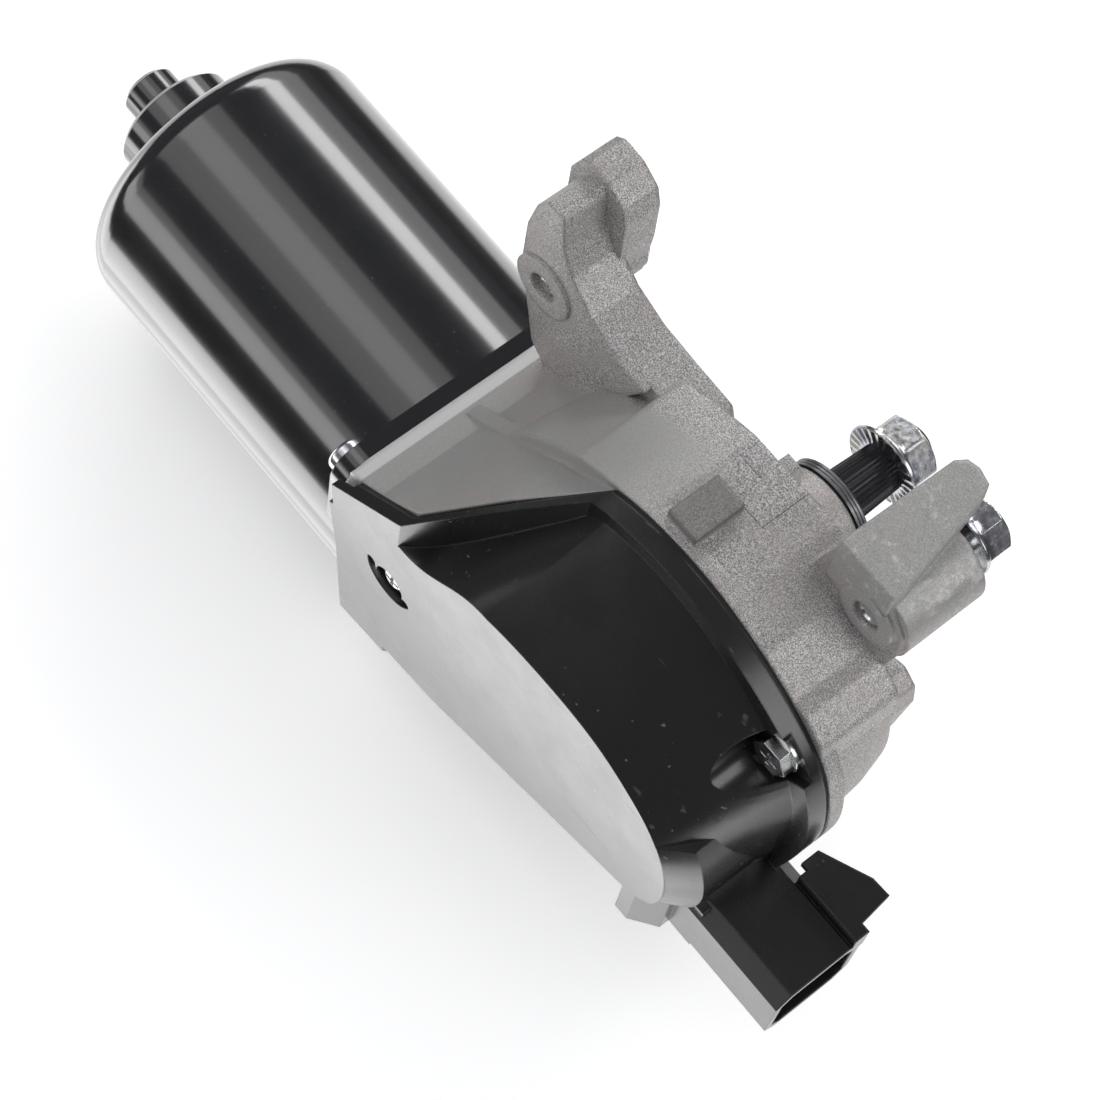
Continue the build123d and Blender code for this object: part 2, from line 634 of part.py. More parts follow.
    # brush room and the bearing line, all on the armature axis
    turned_x([(flange_x - 1, 0), (flange_x - 1, brush_room_r), (brush_room_x, brush_room_r),
              (brush_room_x, 16), (front_bush_x0 - 1.5, 13), (front_bush_x0 - 1.5, 9.5),
              (front_bush_x1, 9.5), (front_bush_x1, worm_tip_r + 0.6), (worm_x1, worm_tip_r + 0.6),
              (end_bush_x0, worm_tip_r + 0.6), (end_bush_x0, 6.5), (end_bush_x1, 6.5),
              (end_bush_x1, adjuster_r), (worm_tube_end_x + 1, adjuster_r),
              (worm_tube_end_x + 1, 0)], mode=Mode.SUBTRACT)
    # lead window from the brush room into the cover
    block(-51, -42, tail_joint_y - 1, armature_y - 20, -20, -4, mode=Mode.SUBTRACT)
    # output bore, foot holes, screw holes
    rod_y(0, 0, bush_r, 0, hub_end_y + 1, mode=Mode.SUBTRACT)
    for fx, fz in ((arm_x, arm_z), (leg_x, leg_z), (low_x, low_z)):
        rod_y(fx, fz, foot_hole_r, -1, mount_y + 1, mode=Mode.SUBTRACT)
    for sx, sz in cover_screw_spots:
        rod_y(sx, sz, cover_screw_r + screw_gap, joint_y - 1, joint_y + 12, mode=Mode.SUBTRACT)
    rod_y(stud_x, stud_z, 1.35, cover_y, tail_joint_y + 7, mode=Mode.SUBTRACT)
    for dy, dz in can_screw_spots:
        rod_x(armature_y + dy, armature_z + dz, can_screw_r + screw_gap, flange_x - 1,
              can_face_x + can_screw_len + 1, mode=Mode.SUBTRACT)
gear_housing.part.label = "gear_housing"
export_step(gear_housing.part, "parts/gear_housing.step")
print("housing solids", len(gear_housing.part.solids()), gear_housing.part.volume)

# bearings in the housing

with BuildPart() as front_bush:
    turned_x([(front_bush_x0, front_journal_r + running_gap), (front_bush_x0, 9.5),
              (front_bush_x1, 9.5), (front_bush_x1, front_journal_r + running_gap)])
front_bush.part.label = "front_bush"
export_step(front_bush.part, "parts/front_bush.step")

with BuildPart() as worm_end_bush:
    turned_x([(end_bush_x0, end_journal_r + running_gap), (end_bush_x0, 6.5),
              (end_bush_x1, 6.5), (end_bush_x1, end_journal_r + running_gap)])
worm_end_bush.part.label = "worm_end_bush"
export_step(worm_end_bush.part, "parts/worm_end_bush.step")

pad_x0 = shaft_nose_x + 0.1
pad_x1 = pad_x0 + 2.2
with BuildPart() as thrust_pad:
    rod_x(armature_y, armature_z, adjuster_r - screw_gap, pad_x0, pad_x1)
thrust_pad.part.label = "thrust_pad"
export_step(thrust_pad.part, "parts/thrust_pad.step")

with BuildPart() as adjuster_screw:
    # slotted grub screw that takes up the end play of the armature
    rod_x(armature_y, armature_z, adjuster_r - screw_gap, pad_x1, worm_tube_end_x - 0.5)
    block(worm_tube_end_x - 2.0, worm_tube_end_x, armature_y - 0.6, armature_y + 0.6,
          armature_z - 5, armature_z + 5, mode=Mode.SUBTRACT)
adjuster_screw.part.label = "adjuster_screw"
export_step(adjuster_screw.part, "parts/adjuster_screw.step")

bush_y0 = wheel_floor_y + 0.2
bush_y1 = hub_end_y - 1.4 - bush_len
with BuildPart() as output_bushes:
    for y0 in (bush_y0, bush_y1):
        rod_y(0, 0, bush_r, y0, y0 + bush_len)
        rod_y(0, 0, shaft_r + running_gap, y0 - 1, y0 + bush_len + 1, mode=Mode.SUBTRACT)
output_bushes.part.label = "output_bushes"
export_step(output_bushes.part, "parts/output_bushes.step")

with BuildPart() as hub_seal:
    # rubber ring pressed in the mouth of the hub bore, its lip shows as a dark line
    turned_y([(shaft_r + 0.1, hub_end_y - 1.4), (bush_r, hub_end_y - 1.4), (bush_r, hub_end_y),
              (hub_r - 0.6, hub_end_y), (hub_r - 0.6, hub_end_y + 0.5), (shaft_r + 0.1, hub_end_y + 0.5)])
hub_seal.part.label = "hub_seal"
export_step(hub_seal.part, "parts/hub_seal.step")

cup_y0 = hub_end_y + 0.5
cup_y1 = cup_y0 + washer_t
clip_y0 = cup_y1 - circlip_t - 0.1
with BuildPart() as hub_washers:
    # steel cup washer with turned grooves and a seat for the snap ring
    turned_y([(shaft_r + 0.4, cup_y0), (hub_r, cup_y0), (hub_r, cup_y0 + 0.6),
              (hub_r - 0.25, cup_y0 + 0.7), (hub_r, cup_y0 + 0.8), (hub_r, cup_y0 + 1.3),
              (hub_r - 0.25, cup_y0 + 1.4), (hub_r, cup_y0 + 1.5), (hub_r, cup_y1 - 0.2),
              (hub_r - 0.2, cup_y1), (shaft_r + 2.8, cup_y1), (shaft_r + 2.8, clip_y0 - 0.05),
              (shaft_r + 0.4, clip_y0 - 0.05)])
hub_washers.part.label = "hub_washers"
export_step(hub_washers.part, "parts/hub_washers.step")

with BuildPart() as shaft_circlip:
    # open snap ring in the groove of the shaft
    turned_y([(shaft_r - 0.6, clip_y0), (shaft_r + 2.3, clip_y0),
              (shaft_r + 2.3, clip_y0 + circlip_t), (shaft_r - 0.6, clip_y0 + circlip_t)])
    block(0, 12, clip_y0 - 1, clip_y0 + 3, -1.4, 1.4, mode=Mode.SUBTRACT)
shaft_circlip.part.label = "shaft_circlip"
export_step(shaft_circlip.part, "parts/shaft_circlip.step")

with BuildPart() as shim_washer:
    turned_y([(shaft_r + 0.3, wheel_hub_y1 + 0.1), (wheel_hub_r, wheel_hub_y1 + 0.1),
              (wheel_hub_r, wheel_hub_y1 + 0.1 + shim_t), (shaft_r + 0.3, wheel_hub_y1 + 0.1 + shim_t)])
shim_washer.part.label = "shim_washer"
export_step(shim_washer.part, "parts/shim_washer.step")


def star(r, depth, count):
    """outline of a round bar with axial teeth"""
    points = []
    for i in range(2 * count):
        points.append(polar(r if i % 2 == 0 else r - depth, 180 * i / count))
    return points


with BuildPart() as output_shaft:
    turned_y([(0, shaft_tail_y), (shaft_r - 0.6, shaft_tail_y), (shaft_r, shaft_tail_y + 0.6),
              (shaft_r, clip_y0 - 0.05), (shaft_r - 0.65, clip_y0 - 0.05),
              (shaft_r - 0.65, clip_y0 + circlip_t + 0.05), (shaft_r, clip_y0 + circlip_t + 0.05),
              (shaft_r, taper_y0), (0, taper_y0)])
    # toothed taper that the crank is pressed on
    with BuildSketch(across(taper_y0)) as wide:
        Polygon(*star(shaft_r, 0.35, taper_teeth), align=None)
    with BuildSketch(across(taper_y1)) as slim:
        Polygon(*star(taper_end_r, 0.35, taper_teeth), align=None)
    loft([wide.sketch.faces()[0], slim.sketch.faces()[0]], ruled=True)
    # thread for the nut
    pitch = 1.25
    profile = [(0, taper_y1), (thread_r - 0.3, taper_y1), (thread_r - 0.3, taper_y1 + nut_h - 1)]
    y = taper_y1 + nut_h - 1
    while y < shaft_end_y - pitch:
        profile += [(thread_r, y + pitch / 2), (thread_r - 0.5, y + pitch)]
        y += pitch
    profile += [(thread_r - 0.9, shaft_end_y), (0, shaft_end_y)]
    turned_y(profile)
output_shaft.part.label = "output_shaft"
export_step(output_shaft.part, "parts/output_shaft.step")

with BuildPart() as crank_nut:
    # flange nut: hexagon, sloped flange, chamfered top
    turned_y([(0, taper_y1), (nut_flange_r, taper_y1), (nut_flange_r, taper_y1 + 1.0),
              (nut_af / 2, taper_y1 + 2.4), (0, taper_y1 + 2.4)])
    with BuildSketch(across(taper_y1 + nut_h)) as hexagon:
        RegularPolygon(nut_af / 2, 6, major_radius=False, rotation=15)
    extrude(hexagon.sketch, amount=nut_h - 1, dir=(0, -1, 0))
    turned_y([(nut_af / 2 - 0.1, taper_y1 + nut_h + 0.1), (nut_af, taper_y1 + nut_h + 0.1),
              (nut_af, taper_y1 + nut_h - 3.2)], mode=Mode.SUBTRACT)
    rod_y(0, 0, thread_r + screw_gap, taper_y1 - 1, taper_y1 + nut_h + 1, mode=Mode.SUBTRACT)
crank_nut.part.label = "crank_nut"
export_step(crank_nut.part, "parts/crank_nut.step")

# moulded cover: flat face, sloped wall, ledge, stepped joint, connector

face_points = [
    (-56.2, -0.5), (-37, 13.2), (-31.3, 14.4), (-22.8, 20.6), (-14, 24.2), (-7, 25.7), (1, 26.4),
    (9, 26.3), (16.5, 24.9), (24.2, 21.4), (30, 17.4), (34, 12.6), (36.6, 7.5), (37.9, 2), (38, -4),
    (36.4, -10), (32.3, -14.6), (-22.8, -31.8), (-49, -35.6),
]
wall_points = [
    (-56.2, 3), (-36.5, 15.5), (-28, 23.4), (-19.5, 31.8), (-11.5, 39.6), (-3.7, 42.4), (4.4, 43.1),
    (12, 42.4), (20, 39.8), (28, 35.6), (35, 30.6), (40.5, 24), (43.6, 16), (44.6, 7), (44, -2),
    (42.2, -10), (38.5, -25.5), (-24, -34), (-49, -35.6),
]
wall_corners = [0, 1, 4, 15, 16, 17, 18]
nose_top = [(26, 14), (33.4, 13.6), (36.4, 8), (37.7, 2), (37.5, -5), (34.5, -12), (26, -12)]
nose_low = [(26, 14), (38.4, 13.6), (41.6, 7), (43, -0.5), (42.2, -7), (36.5, -16.5), (26, -16.5)]
nose_corners = [0, 1, 5, 6]
nose_y = cover_y + 5.0
rim_y = joint_y - gasket_t
band_y = rim_y - rim_h


def envelope(shrink, top_y):
    """solid between the ledge and the face, moved in by the wall thickness"""
    with BuildSketch(across(band_y)) as low:
        outline(inset(wall_points, shrink), wall_corners)
    with BuildSketch(across(top_y)) as high:
        outline(inset(face_points, shrink), wall_corners)
    loft([low.sketch.faces()[0], high.sketch.faces()[0]], ruled=True)


def rim_prism(points, corners, y0, y1):
    """upright prism on a smooth outline"""
    with BuildSketch(across(y1)) as base:
        outline(points, corners)
    extrude(base.sketch, amount=y1 - y0, dir=(0, -1, 0))


def joint_band(y_in, depth):
    """what lies between the stepped joint, moved out by y_in, and a surface deeper by depth"""
    low = max(cover_y, tail_joint_y - y_in - depth)
    plate_z([(-80, tail_joint_y - y_in), (tail_step_x, tail_joint_y - y_in),
             (tail_ramp_x, joint_y - y_in), (80, joint_y - y_in), (80, joint_y - y_in - depth),
             (tail_ramp_x - depth / 4, joint_y - y_in - depth), (tail_step_x - 0.5, low), (-80, low)],
            -70, 70, mode=Mode.INTERSECT)


def cover_side(shift):
    """everything on the housing side of the stepped joint"""
    plate_z([(-80, 30), (-80, tail_joint_y - shift), (tail_step_x, tail_joint_y - shift),
             (tail_ramp_x, joint_y - shift), (80, joint_y - shift), (80, 30)],
            -70, 70, mode=Mode.SUBTRACT)


plug_x0 = 27.0
plug_x1 = 65.0
plug_floor_x = 46.0
plug_y0 = -37.3
plug_y1 = -17.2
plug_z0 = -27.7
plug_z1 = -9.0
plug_wall = 1.5
mid_y = (plug_y0 + plug_y1) / 2
mid_z = (plug_z0 + plug_z1) / 2
blade_w = 2.8
blade_t = 0.8
blade_rows = (mid_z - 3.6, mid_z + 3.6)
blade_cols = (mid_y - 4.6, mid_y + 4.6)

with BuildPart() as cover_inside:
    envelope(cover_wall, cover_y + cover_wall)
    rim_prism(inset(wall_points, cover_wall), wall_corners, band_y, joint_y + 1)

seat_y = rim_y - 2.0
pocket_r = cover_boss_r + 0.2
with BuildPart() as cover_rim:
    # ledge that runs along the stepped joint, and the flat tail plate
    rim_prism(rim_points, rim_corners, cover_y, rim_y)
    joint_band(gasket_t, rim_h)

with BuildPart() as cover_outside:
    envelope(0, cover_y)
    rim_prism(wall_points, wall_corners, band_y, rim_y)
    add(cover_rim.part)
    # bevelled nose above the connector
    with BuildSketch(across(cover_y)) as nose_a:
        outline(nose_top, nose_corners)
    with BuildSketch(across(nose_y)) as nose_b:
        outline(nose_low, nose_corners)
    loft([nose_b.sketch.faces()[0], nose_a.sketch.faces()[0]], ruled=True)
    rim_prism(nose_low, nose_corners, nose_y, band_y)
    plate_z([(30, cover_y), (33.2, cover_y), (38.3, cover_y + 3.8), (38.3, cover_y + 9), (30, cover_y + 9)],
            -26.5, -13)

with BuildPart() as pocket_wall:
    # wall around the screw that sits inside the sloped side
    rod_y(*cover_screw_spots[0], pocket_r + 1.6, cover_y, rim_y)
    add(cover_outside.part, mode=Mode.INTERSECT)

with BuildPart() as gear_cover:
    add(cover_outside.part)
    cover_side(gasket_t)
    add(cover_inside.part, mode=Mode.SUBTRACT)
    add(pocket_wall.part)
    for sx, sz in cover_screw_spots:
        rod_y(sx, sz, cover_boss_r, seat_y, rim_y)
        rod_y(sx, sz, pocket_r, cover_y - 1, seat_y, mode=Mode.SUBTRACT)
    # the screw pocket is open to the side, with a lobe-shaped notch above it
    with BuildSketch(across(seat_y)) as way_out:
        with Locations(Location((*cover_screw_spots[0], 0), (0, 0, 39))):
            with Locations((10, 0)):
                Rectangle(20, 2 * pocket_r)
    extrude(way_out.sketch, amount=30, dir=(0, -1, 0), mode=Mode.SUBTRACT)
    # connector shroud with chamfered corners, its rail and latch fin
    with BuildSketch(along(plug_x0 + 10)) as shroud:
        with Locations((mid_y, mid_z)):
            Rectangle(plug_y1 - plug_y0, plug_z1 - plug_z0)
        chamfer(shroud.vertices(), 3.0)
    extrude(shroud.sketch, amount=plug_x1 - plug_x0 - 10, dir=(1, 0, 0))
    block(49.6, plug_x1, plug_y1 - 2.4, plug_y1 + 0.8, plug_z1 - 4, plug_z1 + 3)
    plate_z([(48, plug_y1 - 0.4), (48, plug_y1 + 3.5), (58, plug_y1 + 7.9), (62.2, plug_y1 + 8.1),
             (63.2, plug_y1 - 0.4)], plug_z1 + 1.4, plug_z1 + 3)
    block(plug_x0, plug_floor_x - 2, plug_y0 + 0.5, plug_y1 - 0.5, plug_z0 + 0.5, plug_z1 - 0.5)
    with BuildSketch(along(plug_floor_x)) as pocket:
        with Locations((mid_y, mid_z)):
            Rectangle(plug_y1 - plug_y0 - 2 * plug_wall, plug_z1 - plug_z0 - 2 * plug_wall)
        chamfer(pocket.vertices(), 2.2)
    extrude(pocket.sketch, amount=plug_x1 - plug_floor_x + 1, dir=(1, 0, 0), mode=Mode.SUBTRACT)
    # clearance over the can flange
    block(-70, flange_x + flange_band + 0.3, armature_y - flange_half_y - 0.3, 0, -70, 70,
          mode=Mode.SUBTRACT)
    # curved window in the tail plate, the head of a small screw shows in it
    with BuildSketch(across(tail_joint_y)) as window:
        with Locations((stud_x, stud_z)):
            Circle(stud_r + 0.5)
        with Locations((stud_x, stud_z + 1.4)):
            SlotArc(Edge.make_circle(5.3, start_angle=185, end_angle=330), 2.3)
    extrude(window.sketch, amount=6, dir=(0, -1, 0), mode=Mode.SUBTRACT)
    # screw holes
    for sx, sz in cover_screw_spots:
        rod_y(sx, sz, cover_screw_r + 0.3, cover_y - 1, 0, mode=Mode.SUBTRACT)
    # slots that hold the four blades
    for bz in blade_rows:
        for by in blade_cols:
            block(plug_x0 - 1, plug_floor_x + 1, by - blade_t / 2 - 0.02, by + blade_t / 2 + 0.02,
                  bz - blade_w / 2 - 0.02, bz + blade_w / 2 + 0.02, mode=Mode.SUBTRACT)
gear_cover.part.label = "gear_cover"
export_step(gear_cover.part, "parts/gear_cover.step")
print("cover solids", len(gear_cover.part.solids()), gear_cover.part.volume)

with BuildPart() as cover_gasket:
    # rubber strip that follows the stepped joint
    rim_prism(inset(rim_points, 0.5), rim_corners, cover_y, joint_y)
    add(cover_inside.part, mode=Mode.SUBTRACT)
    for sx, sz in cover_screw_spots:
        rod_y(sx, sz, cover_boss_r - 0.4, rim_y, joint_y)
    cover_side(0)
    plate_z([(-80, -60), (-80, tail_joint_y - gasket_t), (tail_step_x, tail_joint_y - gasket_t),
             (tail_ramp_x, rim_y), (80, rim_y), (80, -60)], -70, 70, mode=Mode.SUBTRACT)
    block(-70, flange_x + flange_band + 0.3, -60, 0, -70, 70, mode=Mode.SUBTRACT)
    for sx, sz in cover_screw_spots:
        rod_y(sx, sz, cover_screw_r + 0.3, cover_y - 1, 0, mode=Mode.SUBTRACT)
cover_gasket.part.label = "cover_gasket"
export_step(cover_gasket.part, "parts/cover_gasket.step")

with BuildPart() as cover_screws:
    # hex washer head screws with a cross recess
    for sx, sz in cover_screw_spots:
        rod_y(sx, sz, cover_screw_r, seat_y - 0.6, joint_y + 10)
        rod_y(sx, sz, 4.4, seat_y - 1.0, seat_y)
        with BuildSketch(across(seat_y - 0.9)) as head:
            with Locations((sx, sz)):
                RegularPolygon(3.5, 6, major_radius=False)
        extrude(head.sketch, amount=2.6, dir=(0, -1, 0))
        block(sx - 2, sx + 2, seat_y - 3.6, seat_y - 2.1, sz - 0.45, sz + 0.45, mode=Mode.SUBTRACT)
        block(sx - 0.45, sx + 0.45, seat_y - 3.6, seat_y - 2.1, sz - 2, sz + 2, mode=Mode.SUBTRACT)
cover_screws.part.label = "cover_screws"
export_step(cover_screws.part, "parts/cover_screws.step")

with BuildPart() as earth_screw:
    # domed screw in the window of the tail plate
    head_y = cover_y + cover_wall + 0.2
    turned = [(0, head_y + 7), (1.3, head_y + 7), (1.3, head_y), (stud_r, head_y), (stud_r, head_y - 0.8),
              (stud_r - 0.5, head_y - 1.5), (stud_r - 1.4, head_y - 1.9), (0, head_y - 2.0)]
    with BuildSketch(Plane(origin=(stud_x, 0, stud_z))) as half:
        Polygon(*turned, align=None)
    revolve(half.sketch, axis=Axis((stud_x, 0, stud_z), (0, 1, 0)))
    block(stud_x - 1.8, stud_x + 1.8, head_y - 3, head_y - 1.2, stud_z - 0.4, stud_z + 0.4, mode=Mode.SUBTRACT)
    block(stud_x - 0.4, stud_x + 0.4, head_y - 3, head_y - 1.2, stud_z - 1.8, stud_z + 1.8, mode=Mode.SUBTRACT)
earth_screw.part.label = "earth_screw"
export_step(earth_screw.part, "parts/earth_screw.step")

# switch plate and electrical pieces inside the cover

plate_y0 = -27.0
plate_y1 = -25.0

with BuildPart() as contact_plate:
    # moulded switch plate on three legs that stand on the cover face
    plate_y([(-18, 20), (24, 17), (31, 8), (31, -7), (26, -8), (26, -19), (12, -23), (-18, -24)],
            plate_y0, plate_y1, corner=1.5)
    for px, pz in ((-14, 14), (20, 6), (-12, -18)):
        rod_y(px, pz, 2.6, cover_y + cover_wall, plate_y0 + 0.5)
    rod_y(0, 0, 4.0, plate_y0 - 1, plate_y1 + 1, mode=Mode.SUBTRACT)
    for bx in (5, 13):
        block(bx, bx + 4, plate_y0 - 1, plate_y1 + 1, -22, -18, mode=Mode.SUBTRACT)
contact_plate.part.label = "contact_plate"
export_step(contact_plate.part, "parts/contact_plate.step")

finger_tip_y = wheel_y0 - park_disc_t - 0.1
with BuildPart() as park_contacts:
    # three spring fingers that reach down to the tracks of the park disc
    for i in range(3):
        x0 = -8.0 + 5.5 * i
        reach = 7.5 + 1.6 * i
        with BuildSketch(Plane.YZ.offset(x0)) as strip:
            Polygon((plate_y1, 17), (plate_y1 + 0.5, 17), (plate_y1 + 0.5, reach + 5),
                    (finger_tip_y - 0.3, reach + 1), (finger_tip_y, reach), (finger_tip_y - 0.3, reach - 1),
                    (finger_tip_y - 0.9, reach), (plate_y1, reach + 4.6), align=None)
        extrude(strip.sketch, amount=3.0, dir=(1, 0, 0))
park_contacts.part.label = "park_contacts"
export_step(park_contacts.part, "parts/park_contacts.step")

with BuildPart() as connector_terminals:
    # four flat blades, bent down behind the socket onto the switch plate
    for bz in blade_rows:
        for by in blade_cols:
            block(plug_x0 - 0.5, plug_x1 - 6, by - blade_t / 2, by + blade_t / 2, bz - blade_w / 2,
                  bz + blade_w / 2)
            block(plug_x1 - 6, plug_x1 - 4.6, by - blade_t / 4, by + blade_t / 4, bz - blade_w / 4,
                  bz + blade_w / 4)
connector_terminals.part.label = "connector_terminals"
export_step(connector_terminals.part, "parts/connector_terminals.step")

with BuildPart() as circuit_breaker:
    # thermal cut-out: a small metal case with two legs
    block(-2, 10, plate_y0 - 8, plate_y0, 4, 15)
    fillet(circuit_breaker.edges().filter_by(Axis.Y), 1.2)
circuit_breaker.part.label = "circuit_breaker"
export_step(circuit_breaker.part, "parts/circuit_breaker.step")

with BuildPart() as capacitor:
    block(-9, 1, plate_y0 - 6, plate_y0, -20, -8)
    fillet(capacitor.edges().filter_by(Axis.Z), 2.0)
capacitor.part.label = "capacitor"
export_step(capacitor.part, "parts/capacitor.step")

with BuildPart() as choke_coils:
    # two wound chokes, every turn a ridge
    for cx in (9.0, 18.0):
        with Locations(Location((cx, plate_y0 - 3.6, -10))):
            Cylinder(2.2, 13)
        for i in range(7):
            with Locations(Location((cx, plate_y0 - 3.6, -15.4 + 1.8 * i))):
                Cylinder(3.6, 1.4)
choke_coils.part.label = "choke_coils"
export_step(choke_coils.part, "parts/choke_coils.step")

# brush gear in the motor tail

card_x1 = brush_room_x
card_x0 = card_x1 - 1.6
holder_x0 = commutator_x0 + 3.5
brush_in_r = commutator_r + 0.1
brush_out_r = 17.5
brush_half = 3.0
brush_angles = (0, 180)


def radial_block(angle, r0, r1, half, x0, x1, mode=Mode.ADD):
    """block that points away from the armature at this angle"""
    with Locations(Location((0, armature_y, armature_z), (angle, 0, 0))):
        with Locations(((x0 + x1) / 2, (r0 + r1) / 2, 0)):
            Box(x1 - x0, r1 - r0, 2 * half, mode=mode)


with BuildPart() as brush_card:
    # insulating ring that carries the brush holders
    turned_x([(card_x0, 13.5), (card_x0, brush_room_r - 0.2), (card_x1, brush_room_r - 0.2),
              (card_x1, 13.5)])
    for angle in (45, 135, 225, 315):
        radial_block(angle, 21, 24, 1.5, card_x0 - 1, card_x1 + 1, mode=Mode.SUBTRACT)
brush_card.part.label = "brush_card"
export_step(brush_card.part, "parts/brush_card.step")

with BuildPart() as brush_holders:
    # folded brass boxes
    for angle in brush_angles:
        radial_block(angle, 12.0, 24.0, brush_half + 0.7, holder_x0 - 0.7, card_x0)
        radial_block(angle, 11.0, 23.3, brush_half + 0.1, holder_x0 - 0.1, card_x0 - 0.6,
                     mode=Mode.SUBTRACT)
brush_holders.part.label = "brush_holders"
export_step(brush_holders.part, "parts/brush_holders.step")

with BuildPart() as brushes:
    for angle in brush_angles:
        radial_block(angle, brush_in_r, brush_out_r, brush_half, holder_x0, card_x0 - 0.7)
    rod_x(armature_y, armature_z, brush_in_r, holder_x0 - 1, card_x0, mode=Mode.SUBTRACT)
brushes.part.label = "brushes"
export_step(brushes.part, "parts/brushes.step")

spring_mid_x = (holder_x0 + card_x0 - 0.7) / 2
with BuildPart() as brush_springs:
    # pressed coil springs behind the brushes, every turn a ridge
    for angle in brush_angles:
        with Locations(Location((spring_mid_x, armature_y, armature_z), (angle, 0, 0))):
            with Locations(Location((0, brush_out_r, 0), (-90, 0, 0))):
                Cylinder(1.2, 5.7, align=(Align.CENTER, Align.CENTER, Align.MIN))
            for i in range(4):
                with Locations(Location((0, brush_out_r + 0.3 + 1.4 * i, 0), (-90, 0, 0))):
                    Cylinder(2.4, 0.8, align=(Align.CENTER, Align.CENTER, Align.MIN))
brush_springs.part.label = "brush_springs"
export_step(brush_springs.part, "parts/brush_springs.step")

with BuildPart() as lead_grommet:
    # rubber bush that lines the lead window
    block(-51, -42, tail_joint_y + 0.2, armature_y - 26, -20, -4)
    for z0 in (-18.5, -13.5, -8.5):
        with Locations(Location((-46.5, -40, z0 + 1.2), (-90, 0, 0))):
            Cylinder(1.2, 20, mode=Mode.SUBTRACT)
lead_grommet.part.label = "lead_grommet"
export_step(lead_grommet.part, "parts/lead_grommet.step")

# flange bolts in the three feet, screwed in from the mounting side

bracket_gap = 3.0
bolt_tips = ((arm_x, arm_z, 1.6), (leg_x, leg_z, 1.0), (low_x, low_z, 1.0))
with BuildPart() as mounting_bolts:
    for fx, fz, tip in bolt_tips:
        rod_y(fx, fz, bolt_r, tip, mount_y + bracket_gap + 1)
        rod_y(fx, fz, 6.3, mount_y + bracket_gap, mount_y + bracket_gap + 1.4)
        with BuildSketch(across(mount_y + bracket_gap + 6.4)) as head:
            with Locations((fx, fz)):
                RegularPolygon(5.0, 6, major_radius=False, rotation=10)
        extrude(head.sketch, amount=5.6, dir=(0, -1, 0))
mounting_bolts.part.label = "mounting_bolts"
export_step(mounting_bolts.part, "parts/mounting_bolts.step")

with BuildPart() as bolt_washers:
    for fx, fz, tip in bolt_tips:
        rod_y(fx, fz, 6.0, mount_y, mount_y + 1.2)
        rod_y(fx, fz, bolt_r + 0.05, mount_y - 1, mount_y + 2, mode=Mode.SUBTRACT)
bolt_washers.part.label = "bolt_washers"
export_step(bolt_washers.part, "parts/bolt_washers.step")
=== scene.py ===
import json
import math

import bpy
import numpy as np
from mathutils import Matrix, Vector


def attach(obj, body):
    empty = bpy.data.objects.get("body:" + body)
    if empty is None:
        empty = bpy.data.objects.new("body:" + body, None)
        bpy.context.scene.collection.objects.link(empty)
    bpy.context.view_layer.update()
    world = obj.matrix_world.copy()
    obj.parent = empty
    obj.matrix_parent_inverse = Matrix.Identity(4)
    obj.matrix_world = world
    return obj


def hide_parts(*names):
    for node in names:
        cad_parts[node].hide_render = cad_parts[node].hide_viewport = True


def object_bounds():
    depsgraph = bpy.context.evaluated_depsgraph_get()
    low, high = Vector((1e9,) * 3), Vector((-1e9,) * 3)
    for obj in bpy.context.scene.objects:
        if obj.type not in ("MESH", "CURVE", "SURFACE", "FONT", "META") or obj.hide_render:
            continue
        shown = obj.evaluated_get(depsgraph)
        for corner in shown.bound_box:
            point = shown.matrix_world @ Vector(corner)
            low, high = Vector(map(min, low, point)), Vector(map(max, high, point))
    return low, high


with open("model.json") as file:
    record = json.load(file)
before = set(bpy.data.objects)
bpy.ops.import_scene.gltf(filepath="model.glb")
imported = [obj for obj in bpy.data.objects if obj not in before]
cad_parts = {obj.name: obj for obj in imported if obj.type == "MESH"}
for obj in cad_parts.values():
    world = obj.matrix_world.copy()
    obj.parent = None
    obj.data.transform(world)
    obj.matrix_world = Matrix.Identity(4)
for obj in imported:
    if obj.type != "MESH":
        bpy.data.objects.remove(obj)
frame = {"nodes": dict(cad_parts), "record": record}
cad_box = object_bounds()
nodes = frame["nodes"]
MM = 0.001

# camera: the photograph's viewing angle, solved for a square frame

VIEW_AZ = math.radians(37.5)
VIEW_EL = math.radians(65.29)
VIEW_ROLL = math.radians(-14.24)
VIEW_FROM = Vector((0.1254, -0.2122, 0.5344))
LENS_RATIO = 3237.16 / 1100.0


def make_camera():
    """Camera axes from azimuth, elevation and a roll about the line of sight."""
    back = Vector((math.cos(VIEW_EL) * math.sin(VIEW_AZ), -math.cos(VIEW_EL) * math.cos(VIEW_AZ),
                   math.sin(VIEW_EL)))
    right = Vector((math.cos(VIEW_AZ), math.sin(VIEW_AZ), 0))
    up = back.cross(right)
    c, s = math.cos(VIEW_ROLL), math.sin(VIEW_ROLL)
    right, up = c * right - s * up, s * right + c * up
    data = bpy.data.cameras.new("photo_camera")
    data.sensor_width = 36
    data.sensor_fit = "HORIZONTAL"
    data.lens = 36 * LENS_RATIO
    data.clip_start, data.clip_end = 0.01, 10
    cam = bpy.data.objects.new("photo_camera", data)
    turn = Matrix((right, up, back)).transposed().to_4x4()
    cam.matrix_world = Matrix.Translation(VIEW_FROM) @ turn
    bpy.context.scene.collection.objects.link(cam)
    bpy.context.scene.camera = cam


make_camera()


# materials

CAN_BLACK = (0.007, 0.0072, 0.0076)
COVER_BLACK = (0.012, 0.012, 0.0115)


